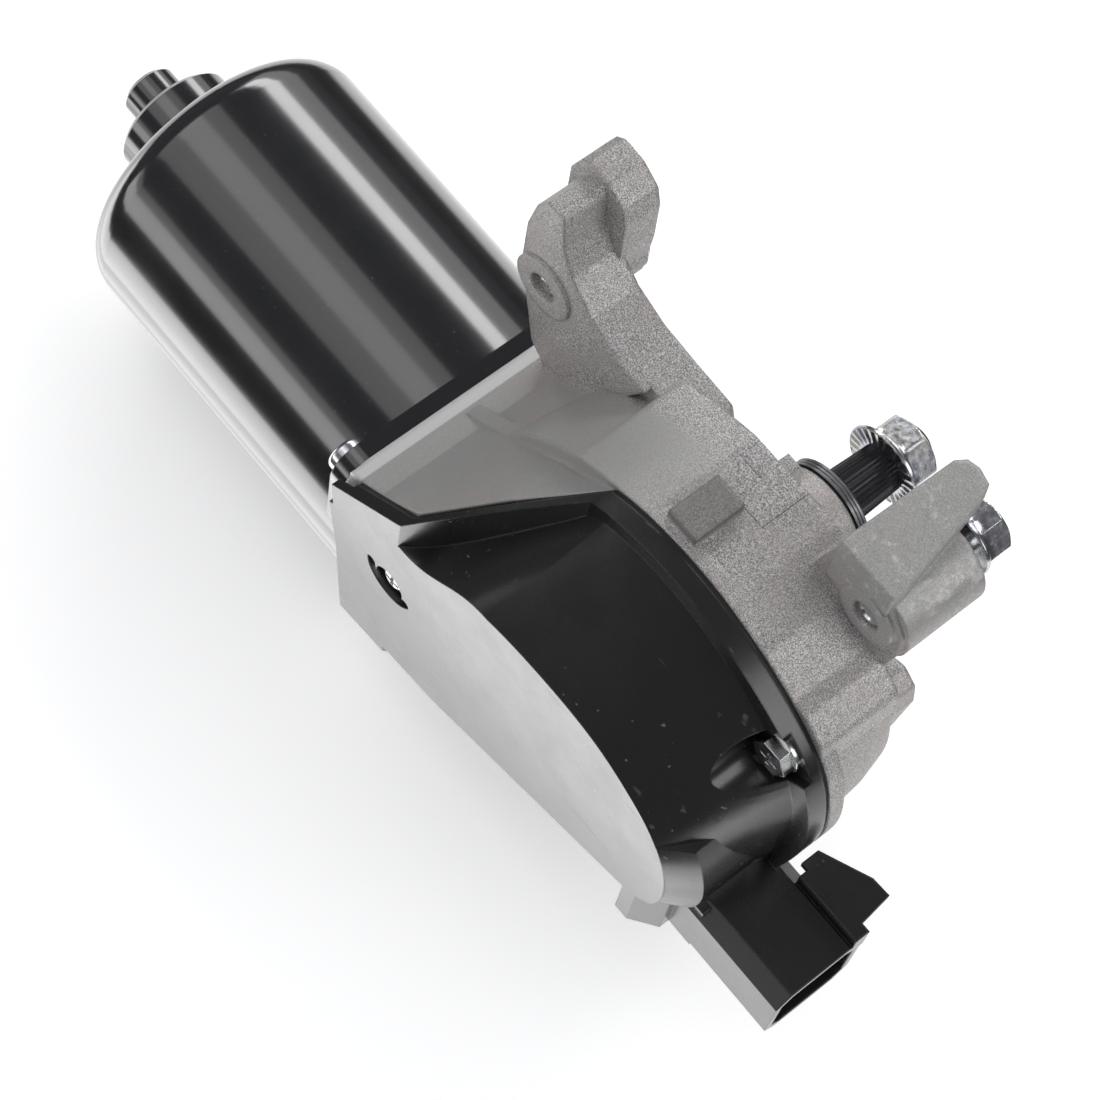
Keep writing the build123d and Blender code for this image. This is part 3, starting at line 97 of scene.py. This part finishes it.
class Finish:
    """A material being put together: one shader, and short names for its nodes."""

    def __init__(self, name, colour, metal=0.0, rough=0.4, **sockets):
        self.mat = bpy.data.materials.new(name)
        self.mat.use_nodes = True
        self.tree = self.mat.node_tree
        self.shader = self.tree.nodes["Principled BSDF"]
        self.set("Base Color", (*colour, 1))
        self.set("Metallic", metal)
        self.set("Roughness", rough)
        for key, value in sockets.items():
            self.set(key.replace("_", " "), value)
        self.place = self.add("ShaderNodeTexCoord").outputs["Object"]
        self.height = None
        self.axes = None

    def set(self, socket, value):
        """one plain value on the shader"""
        self.shader.inputs[socket].default_value = value

    def add(self, kind, **values):
        """a node, its settings and inputs given by name"""
        node = self.tree.nodes.new(kind)
        for key, value in values.items():
            if hasattr(node, key):
                setattr(node, key, value)
            else:
                node.inputs[key.replace("_", " ")].default_value = value
        return node

    def join(self, a, b):
        self.tree.links.new(a, b)

    def along(self, axis):
        """one coordinate of the place on the part, in metres"""
        if self.axes is None:
            split = self.add("ShaderNodeSeparateXYZ")
            self.join(self.place, split.inputs[0])
            self.axes = split.outputs
        return self.axes["XYZ".index(axis)]

    def stretch(self, scale, turn=(0, 0, 0)):
        """the place on the part, scaled and turned"""
        m = self.add("ShaderNodeMapping")
        m.inputs["Scale"].default_value = scale
        m.inputs["Rotation"].default_value = turn
        self.join(self.place, m.inputs["Vector"])
        return m.outputs["Vector"]

    def noise(self, scale, detail=2.0, rough=0.5, vector=None):
        """cloudy pattern between 0 and 1"""
        n = self.add("ShaderNodeTexNoise", Scale=scale, Detail=detail, Roughness=rough)
        self.join(vector or self.place, n.inputs["Vector"])
        return n.outputs["Fac"]

    def band(self, value, low, high, out_low=0.0, out_high=1.0):
        """straight ramp of a value from one range to another, held at its ends"""
        r = self.add("ShaderNodeMapRange")
        r.inputs["From Min"].default_value = low
        r.inputs["From Max"].default_value = high
        r.inputs["To Min"].default_value = out_low
        r.inputs["To Max"].default_value = out_high
        self.join(value, r.inputs["Value"])
        return r.outputs["Result"]

    def maths(self, what, a, b):
        m = self.add("ShaderNodeMath", operation=what)
        for i, v in enumerate((a, b)):
            if isinstance(v, (int, float)):
                m.inputs[i].default_value = v
            else:
                self.join(v, m.inputs[i])
        return m.outputs[0]

    def times(self, *values):
        out = values[0]
        for v in values[1:]:
            out = self.maths("MULTIPLY", out, v)
        return out

    def colours(self, value, *stops):
        r = self.add("ShaderNodeValToRGB")
        ramp = r.color_ramp
        while len(ramp.elements) < len(stops):
            ramp.elements.new(0.5)
        for e, (at, colour) in zip(ramp.elements, stops):
            e.position = at
            e.color = (*colour, 1)
        self.join(value, r.inputs["Fac"])
        return r.outputs["Color"]

    def blend(self, value, a, b):
        """colour a where the value is 0, colour b where it is 1"""
        m = self.add("ShaderNodeMix", data_type="RGBA")
        self.join(value, m.inputs[0])
        for i, v in ((6, a), (7, b)):
            if isinstance(v, tuple):
                m.inputs[i].default_value = (*v, 1)
            else:
                self.join(v, m.inputs[i])
        return m.outputs[2]

    def bump(self, value, depth, strength=1.0):
        """relief of this depth in metres on top of what is there"""
        b = self.add("ShaderNodeBump")
        b.inputs["Distance"].default_value = depth
        b.inputs["Strength"].default_value = strength
        self.join(value, b.inputs["Height"])
        if self.height is not None:
            self.join(self.height, b.inputs["Normal"])
        self.height = b.outputs["Normal"]

    def soften(self, radius):
        """Edges of the solid look rounded by this radius."""
        b = self.add("ShaderNodeBevel", samples=6)
        b.inputs["Radius"].default_value = radius
        self.height = b.outputs["Normal"]

    def feed(self, socket, value):
        self.join(value, self.shader.inputs[socket])

    def done(self):
        """the finished material"""
        if self.height is not None:
            self.feed("Normal", self.height)
        return self.mat


def cast_alloy():
    """Blasted die-cast alloy: fine speckle, warm blotches, smoother tail and foot, a bright flange band
    and the low raised panel on the flat top; the top of the rib is darkened with painted shade."""
    f = Finish("cast_alloy", (0.50, 0.49, 0.48), metal=0.5, rough=0.5)
    f.soften(0.0011)
    x, y, z = f.along("X"), f.along("Y"), f.along("Z")
    grain = f.noise(4300, 1, 0.5)
    coarse = f.noise(1100, 2, 0.6)
    blotch = f.noise(55, 3, 0.6)
    tail = f.times(f.band(x, 0.002, -0.016), f.band(y, 0.001, -0.001))
    foot = f.times(f.band(x, 0.0165, 0.021), f.band(z, 0.046, 0.050))
    flange = f.times(f.band(x, -0.0522, -0.0526), f.band(z, 0.012, 0.010))
    skin = f.band(f.maths("MAXIMUM", f.maths("MAXIMUM", tail, flange), f.times(foot, 0.8)), 0, 1, 1, 0.15)
    light = f.colours(grain, (0.36, (0.22, 0.213, 0.208)), (0.5, (0.415, 0.402, 0.392)),
                      (0.64, (0.74, 0.724, 0.712)))
    speckle = f.blend(skin, (0.40, 0.395, 0.385), light)
    warm = f.blend(f.band(blotch, 0.48, 0.70, 0, 0.5), speckle, (0.46, 0.395, 0.375))
    shade = f.blend(f.band(f.noise(24, 2, 0.5), 0.35, 0.65, 0, 0.22), warm, (0.34, 0.34, 0.33))
    worn = f.times(foot, f.band(f.noise(260, 4, 0.7), 0.56, 0.66, 0, 0.5))
    # painted shade: the rib's top (z above about 46 mm, x below about 6 mm, y below 0) is blended towards dark
    # grey
    rib_painted_shade = f.times(f.band(z, 0.0458, 0.0470), f.band(x, 0.006, 0.005), f.band(y, 0.000, -0.002), 0.7)
    # light worn patches on the foot, then the painted shade on the rib over them
    wear_and_painted_rib_shade = f.blend(rib_painted_shade, f.blend(worn, shade, (0.78, 0.76, 0.75)), (0.17, 0.162, 0.155))
    f.feed("Base Color", f.blend(flange, wear_and_painted_rib_shade, (0.70, 0.70, 0.69)))
    f.feed("Roughness", f.band(coarse, 0.3, 0.7, 0.42, 0.58))
    panel = f.times(f.band(x, 0.0068, 0.0066), f.band(x, -0.0059, -0.0057), f.band(z, 0.0436, 0.0442),
                    f.maths("MAXIMUM", f.times(f.band(x, -0.0002, 0), f.band(y, -0.0023, -0.0021)),
                            f.band(y, 0.0036, 0.0038)))
    f.bump(panel, 0.0004, 0.8)
    f.bump(f.times(skin, f.maths("ADD", grain, f.maths("MULTIPLY", coarse, 0.6))), 0.00006, 0.6)
    return f.done()


def black_paint():
    """Glossy black enamel with faint dust and orange peel."""
    f = Finish("black_can", CAN_BLACK, rough=0.2, Coat_Weight=1.0, Coat_Roughness=0.11,
               Coat_IOR=1.8)
    f.soften(0.0005)
    dust = f.band(f.noise(1500, 1, 0.4), 0.74, 0.80)
    f.feed("Base Color", f.blend(f.times(dust, 0.5), CAN_BLACK, (0.10, 0.10, 0.10)))
    f.feed("Roughness", f.band(f.noise(60, 4, 0.6), 0.35, 0.7, 0.17, 0.26))
    f.bump(f.noise(260, 2, 0.5), 0.00002, 0.25)
    return f.done()


def black_moulding():
    """Satin moulded plastic: fine flow lines, pale flecks, and scratches on the flat face."""
    f = Finish("black_moulding", COVER_BLACK, rough=0.30, Coat_Weight=0.35, Coat_Roughness=0.22,
               Coat_IOR=1.7)
    f.soften(0.0005)
    face = f.band(f.along("Y"), -0.0426, -0.0429)
    fleck = f.times(f.band(f.noise(750, 1, 0.5), 0.73, 0.77), f.band(f.noise(30, 2, 0.5), 0.5, 0.62))
    scratch = f.band(f.noise(420, 2, 0.5, f.stretch((0.07, 1, 1), (0, 0.95, 0))), 0.70, 0.76)
    pit = f.times(face, f.band(f.noise(300, 2, 0.6), 0.68, 0.74))
    marks = f.maths("MAXIMUM", f.times(fleck, 0.5), f.times(scratch, 0.25))
    f.feed("Base Color", f.blend(marks, COVER_BLACK, (0.26, 0.21, 0.19)))
    f.feed("Roughness", f.band(f.maths("ADD", f.times(f.noise(90, 4, 0.65), 0.5), f.times(scratch, 0.6)),
                               0.15, 0.5, 0.22, 0.40))
    f.bump(f.maths("SUBTRACT", f.times(f.noise(1300, 2, 0.5), 0.4), f.maths("ADD", pit, f.times(face, scratch))),
           0.00003, 0.5)
    return f.done()


def plated(name, colour, rough=0.25, metal=1.0, streak=(1, 1, 1)):
    """Plated or turned metal: streaky roughness, small dull spots."""
    f = Finish(name, colour, metal=metal, rough=rough)
    f.soften(0.0002)
    wear = f.noise(500, 3, 0.6, f.stretch(streak))
    dark = tuple(c * 0.72 for c in colour)
    f.feed("Base Color", f.blend(f.band(wear, 0.45, 0.75), colour, dark))
    f.feed("Roughness", f.band(wear, 0.3, 0.7, rough * 0.75, rough * 1.35))
    f.bump(f.noise(2500, 2, 0.5, f.stretch(streak)), 0.00001, 0.5)
    return f.done()


def zinc():
    """Blue-white zinc plate with faint violet and straw stains."""
    f = Finish("zinc_steel", (0.74, 0.74, 0.73), metal=1.0, rough=0.2)
    f.soften(0.00025)
    stain = f.colours(f.noise(160, 3, 0.6), (0.36, (0.80, 0.79, 0.76)), (0.52, (0.70, 0.72, 0.74)),
                      (0.66, (0.58, 0.52, 0.62)))
    f.feed("Base Color", stain)
    f.feed("Roughness", f.band(f.noise(700, 3, 0.6), 0.3, 0.7, 0.13, 0.3))
    f.bump(f.noise(1800, 2, 0.5), 0.00001, 0.5)
    return f.done()


def dull(name, colour, rough=0.6, grain=900.0, depth=0.00004):
    """Rubber, card, ferrite or carbon: matt with a fine grain and slight mottling."""
    f = Finish(name, colour, rough=rough)
    dark = tuple(c * 0.7 for c in colour)
    f.feed("Base Color", f.blend(f.band(f.noise(grain * 0.2, 3, 0.6), 0.35, 0.7), colour, dark))
    f.feed("Roughness", f.band(f.noise(grain * 0.3, 2, 0.5), 0.3, 0.7, rough * 0.85, min(1, rough * 1.15)))
    f.bump(f.noise(grain, 2, 0.6), depth, 0.6)
    return f.done()


MADE = {
    "cast_alloy": cast_alloy(),
    "black_can": black_paint(),
    "black_moulding": black_moulding(),
    "zinc_steel": zinc(),
    "dark_steel": plated("dark_steel", (0.045, 0.045, 0.048), 0.3, 0.8, (1, 0.1, 1)),
    "bright_steel": plated("bright_steel", (0.24, 0.24, 0.25), 0.40),
    "copper": plated("copper", (0.74, 0.36, 0.20), 0.30),
    "brass_strip": plated("brass_strip", (0.78, 0.62, 0.30), 0.28),
    "bronze": plated("bronze", (0.50, 0.36, 0.22), 0.45),
    "ferrite": dull("ferrite", (0.07, 0.07, 0.075), 0.65),
    "carbon": dull("carbon", (0.05, 0.05, 0.05), 0.5),
    "black_rubber": dull("black_rubber", (0.018, 0.018, 0.018), 0.6),
    "felt": dull("felt", (0.48, 0.45, 0.38), 0.95, 1500, 0.0002),
    "white_nylon": dull("white_nylon", (0.80, 0.78, 0.70), 0.4),
    "card": dull("card", (0.36, 0.22, 0.11), 0.55),
    "amber_film": dull("amber_film", (0.70, 0.42, 0.12), 0.25),
}

for part in frame["record"]["subparts"]:
    node = nodes[part["node"]]
    node.data.materials.clear()
    node.data.materials.append(MADE[part["material_slot"]])


# pieces worked out as surfaces, all in mm

FOOT_RIGHT = (29.8, 47.3)
FOOT_LOW = (14.0, -45.0)
FOOT_UPPER = (-53.6, 37.0)
BOLT_TIP, BOLT_HEAD = 0.7, 22.0
THREAD_PITCH = 1.25
THREAD_END = 52.9


def surface(name, grid, finish, body, wrap_rows=False, wrap_cols=True):
    """Grid of points in mm (rows by columns) made a mesh of four-sided faces that rides a body."""
    rows, cols = grid.shape[:2]
    index = np.arange(rows * cols).reshape(rows, cols)
    if wrap_rows:
        index = np.vstack([index, index[:1]])
    if wrap_cols:
        index = np.hstack([index, index[:, :1]])
    quads = np.stack([index[:-1, :-1], index[1:, :-1], index[1:, 1:], index[:-1, 1:]],
                     axis=-1).reshape(-1, 4)
    mesh = bpy.data.meshes.new(name)
    mesh.from_pydata((grid.reshape(-1, 3) * MM).tolist(), [], quads.tolist())
    mesh.materials.append(MADE[finish])
    piece = bpy.data.objects.new(name, mesh)
    bpy.context.scene.collection.objects.link(piece)
    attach(piece, body)
    return piece


def smooth(piece, angle):
    """Shade softly, keeping the edges that turn by more than this angle."""
    mesh = piece.data
    mesh.shade_smooth()
    mesh.set_sharp_from_angle(angle=math.radians(angle))
    return piece


def resample(points, steps):
    """Straight runs of a closed profile, each divided into equal steps."""
    points = np.asarray(points, float)
    after = np.roll(points, -1, axis=0)
    t = np.arange(steps)[:, None] / steps
    return (points[:, None] + (after - points)[:, None] * t).reshape(-1, 2)


def flange_nut():
    """Radius is the profile's, held inside a hexagon (half the width over the cosine of the angle from
    the nearest flat) above the flange; the seat face rises and falls with a saw wave round the flange."""
    profile = resample([(4.0, 43.1), (8.6, 43.1), (8.95, 43.4), (8.95, 44.0), (7.6, 44.75), (7.5, 45.4),
                        (7.5, 50.2), (6.4, 51.05), (5.0, 51.1), (4.0, 50.4)], 6)
    turn = np.linspace(0, 2 * np.pi, 288, endpoint=False)
    r, y = profile[:, :1], profile[:, 1:]
    flat = 6.5 / np.cos((turn - np.radians(15)) % (np.pi / 3) - np.pi / 6)
    flat = flat[None, :] - 0.12 * (flat[None, :] > 7.35)
    on_hex = np.clip((y - 44.75) / 0.6, 0, 1)
    radius = np.where((r > 5.0) & (on_hex > 0), np.minimum(r, flat * on_hex + r * (1 - on_hex)),
                      r + 0 * flat)
    saw = np.abs((turn * 24 / (2 * np.pi)) % 1 - 0.5)[None, :]
    seat = (y < 43.2) * np.clip((r - 5.2) / 1.0, 0, 1)
    height = y + 0.55 * saw * seat
    grid = np.stack([radius * np.cos(turn), height + 0 * radius, radius * np.sin(turn)], axis=-1)
    nut = smooth(surface("flange_nut", grid, "zinc_steel", "crank_nut", wrap_rows=True), 22)
    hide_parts("crank_nut")


def hex_bolt(x, z, tip, head_y):
    """Turned profile whose head is held inside a hexagon; its end has a shallow cup."""
    stem = [(0.02, tip + 0.5), (1.3, tip + 0.4), (1.8, tip), (2.4, tip + 0.1), (2.95, tip + 0.9)]
    head = [(2.95, head_y), (6.3, head_y), (6.5, head_y + 0.3), (6.3, head_y + 0.9), (5.9, head_y + 1.3),
            (5.9, head_y + 6.0), (5.0, head_y + 6.7), (3.4, head_y + 6.8), (3.0, head_y + 6.3),
            (0.02, head_y + 6.3)]
    profile = resample(stem + head, 5)[:-5]
    turn = np.linspace(0, 2 * np.pi, 144, endpoint=False)
    r, y = profile[:, :1], profile[:, 1:]
    flat = 5.0 / np.cos((turn - np.radians(10)) % (np.pi / 3) - np.pi / 6)[None, :]
    on_hex = np.clip((y - head_y - 1.1) / 0.4, 0, 1) * (r > 3.2)
    radius = np.where(on_hex > 0, np.minimum(r, flat * on_hex + r * (1 - on_hex)), r + 0 * flat)
    return np.stack([x + radius * np.cos(turn), y + 0 * radius, z + radius * np.sin(turn)], axis=-1)


def end_stub(x, z, tip, back):
    """Turned profile of a stud: domed end, straight flank, flat back."""
    profile = resample([(0.02, tip), (1.4, tip + 0.05), (2.3, tip + 0.45), (2.95, tip + 1.2),
                        (2.95, back - 0.5), (2.5, back), (0.02, back)], 5)[:-5]
    turn = np.linspace(0, 2 * np.pi, 96, endpoint=False)
    r, y = profile[:, :1], profile[:, 1:]
    radius = r + 0 * turn
    return np.stack([x + radius * np.cos(turn), y + 0 * radius, z + radius * np.sin(turn)], axis=-1)


def foot_fasteners():
    """Flange bolts in the right and the low foot and a stud in the upper one."""
    for name, grid, angle in (
            ("foot_bolt_right", hex_bolt(*FOOT_RIGHT, BOLT_TIP, BOLT_HEAD), 25),
            ("foot_bolt_low", hex_bolt(*FOOT_LOW, BOLT_TIP, BOLT_HEAD), 25),
            ("foot_stub", end_stub(*FOOT_UPPER, 1.0, 21.4), 30)):
        piece = smooth(surface(name, grid, "zinc_steel", "motor"), angle)
        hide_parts("mounting_bolts")


def filler(outline, hole, y0, y1):
    """Closed form round a hole: at each angle about the hole the radius runs from the hole to the outline,
    between two heights, and back along the far side."""
    ring = resample(outline, 60) - np.array(hole[:2])
    angle = np.arctan2(ring[:, 1], ring[:, 0])
    order = np.argsort(angle)
    turn = np.linspace(-np.pi, np.pi, 360, endpoint=False)
    outer = np.interp(turn, angle[order], np.hypot(ring[:, 0], ring[:, 1])[order], period=2 * np.pi)
    rows = []
    for share, y in ((0, y0), (1, y0 + 0.5), (1, y1), (0, y1)):
        radius = hole[2] + share * (outer + 0.2 - hole[2])
        rows.append(np.column_stack([hole[0] + radius * np.cos(turn), np.full(len(turn), y),
                                     hole[1] + radius * np.sin(turn)]))
    return np.array(rows)


def arm_face():
    """The front face of the upper foot's arm, nearly flush with the ring round its hole."""
    outline = [(-46.5, 8), (-54.5, 15), (-60.3, 37), (-60.6, 49), (-59.2, 57), (-57, 60.5), (-52.8, 60.6),
               (-52.2, 57), (-51.4, 52), (-48.3, 46.7), (-42.5, 41.4), (-34.7, 38.4), (-27.0, 37.6), (-34, 24)]
    grid = filler(outline, (*FOOT_UPPER, 6.7), 0.9, 12.3)
    piece = surface("arm_face", grid, "cast_alloy", "motor", wrap_rows=True)
    smooth(piece, 30)


def shaft_thread():
    """Radius is the root plus a flattened triangle wave of (height minus pitch times turn over a full turn)."""
    y = np.linspace(43.2, THREAD_END, 120)[:, None]
    turn = np.linspace(0, 2 * np.pi, 72, endpoint=False)[None, :]
    phase = ((y - THREAD_PITCH * turn / (2 * np.pi)) / THREAD_PITCH) % 1
    wave = np.clip(1.25 - 2.5 * np.abs(phase - 0.5), 0, 1)
    fade = np.clip((THREAD_END - y) / 1.0, 0, 1)
    radius = 3.42 + 0.5 * wave * fade
    radius[0], radius[-1] = 3.0, 3.0
    grid = np.stack([radius * np.cos(turn), y + 0 * radius, radius * np.sin(turn)], axis=-1)
    smooth(surface("shaft_thread", grid, "dark_steel", "output"), 60)


arm_face()
flange_nut()
shaft_thread()
foot_fasteners()


# table, lamps and backdrop

def make_floor():
    """Wide pale floor with the shadow; gloss and glass see it as a white table with dim room beyond it."""
    size = 3.0
    mesh = bpy.data.meshes.new("floor")
    z = cad_box[0].z - 0.0004
    mesh.from_pydata([(-size, -size, z), (size, -size, z), (size, size, z), (-size, size, z)], [],
                     [(0, 1, 2, 3)])
    floor = bpy.data.objects.new("floor", mesh)
    bpy.context.scene.collection.objects.link(floor)
    f = Finish("floor_white", (0.93, 0.93, 0.93), rough=0.9)
    f.set("Specular IOR Level", 0.0)
    tint = f.colours(f.noise(3, 2, 0.5), (0.4, (0.90, 0.90, 0.90)), (0.6, (0.93, 0.93, 0.93)))
    f.feed("Base Color", tint)
    inside = f.times(f.band(f.along("Y"), -0.125, -0.100), f.band(f.along("Y"), 0.17, 0.13),
                     f.band(f.along("X"), 0.34, 0.28), f.band(f.along("X"), -0.42, -0.36))
    glow = f.add("ShaderNodeEmission")
    f.join(f.band(inside, 0, 1, 0.06, 1.0), glow.inputs["Strength"])
    path = f.add("ShaderNodeLightPath")
    seen = f.maths("MAXIMUM", path.outputs["Is Glossy Ray"], path.outputs["Is Transmission Ray"])
    mix = f.add("ShaderNodeMixShader")
    lift = f.add("ShaderNodeEmission")
    f.join(f.times(path.outputs["Is Camera Ray"], 0.34), lift.inputs["Strength"])
    lifted = f.add("ShaderNodeAddShader")
    f.join(f.shader.outputs[0], lifted.inputs[0])
    f.join(lift.outputs[0], lifted.inputs[1])
    f.join(seen, mix.inputs[0])
    f.join(lifted.outputs[0], mix.inputs[1])
    f.join(glow.outputs[0], mix.inputs[2])
    f.join(mix.outputs[0], f.tree.nodes["Material Output"].inputs["Surface"])
    mesh.materials.append(f.done())


def soft_box(name, at, aim, wide, high, level):
    """Rectangular lamp that faces a point; its level is its brightness, with white at 1."""
    data = bpy.data.lights.new(name, "AREA")
    data.shape = "RECTANGLE"
    data.size, data.size_y = wide, high
    data.energy = level * math.pi * wide * high
    lamp = bpy.data.objects.new(name, data)
    ahead = (Vector(aim) - Vector(at)).normalized()
    side = Vector((1, 0, 0)) - ahead * ahead.x
    side.normalize()
    up = side.cross(ahead)
    turn = Matrix((side, up, -ahead)).transposed().to_4x4()
    lamp.matrix_world = Matrix.Translation(at) @ turn
    lamp.visible_camera = False
    bpy.context.scene.collection.objects.link(lamp)


def make_world():
    """Even pale light; gloss sees a dim room in its place, the camera plain white."""
    world = bpy.data.worlds.new("studio")
    bpy.context.scene.world = world
    world.use_nodes = True
    tree = world.node_tree
    even = tree.nodes["Background"]
    even.inputs["Color"].default_value = (0.96, 0.97, 1.0, 1)
    even.inputs["Strength"].default_value = 0.45
    dim = tree.nodes.new("ShaderNodeBackground")
    dim.inputs["Color"].default_value = (0.90, 0.92, 1.0, 1)
    dim.inputs["Strength"].default_value = 0.13
    white = tree.nodes.new("ShaderNodeBackground")
    white.inputs["Color"].default_value = (1, 1, 1, 1)
    path = tree.nodes.new("ShaderNodeLightPath")
    first = tree.nodes.new("ShaderNodeMixShader")
    second = tree.nodes.new("ShaderNodeMixShader")
    tree.links.new(path.outputs["Is Glossy Ray"], first.inputs[0])
    tree.links.new(even.outputs[0], first.inputs[1])
    tree.links.new(dim.outputs[0], first.inputs[2])
    tree.links.new(path.outputs["Is Camera Ray"], second.inputs[0])
    tree.links.new(first.outputs[0], second.inputs[1])
    tree.links.new(white.outputs[0], second.inputs[2])
    tree.links.new(second.outputs[0], tree.nodes["World Output"].inputs["Surface"])


make_world()
make_floor()
centre = (-0.06, -0.02, -0.02)
soft_box("top_lamp", (-0.40, -0.19, 0.70), centre, 0.90, 0.26, 0.6)
soft_box("top_fill", (-0.40, -0.24, 0.72), centre, 1.00, 0.76, 0.6)
soft_box("back_lamp", (-0.33, 0.55, 0.42), centre, 0.90, 0.16, 3.6)
soft_box("back_fill", (-0.33, 0.58, 0.33), centre, 1.00, 0.40, 0.8)
soft_box("front_lamp", (-0.30, -0.70, 0.05), centre, 1.00, 0.18, 1.2)
soft_box("front_fill", (-0.30, -0.70, 0.09), centre, 1.00, 0.28, 0.6)
soft_box("right_lamp", (0.60, 0.20, 0.45), centre, 0.45, 0.45, 2.6)
table_z = cad_box[0].z - 0.0002
soft_box("table_lamp", (-0.08, -0.085, table_z), (-0.08, -0.085, 0.5), 0.60, 0.046, 1.7)
soft_box("table_fill", (-0.08, -0.077, table_z), (-0.08, -0.077, 0.5), 0.60, 0.066, 0.6)
bpy.context.scene.view_settings.view_transform = "Standard"
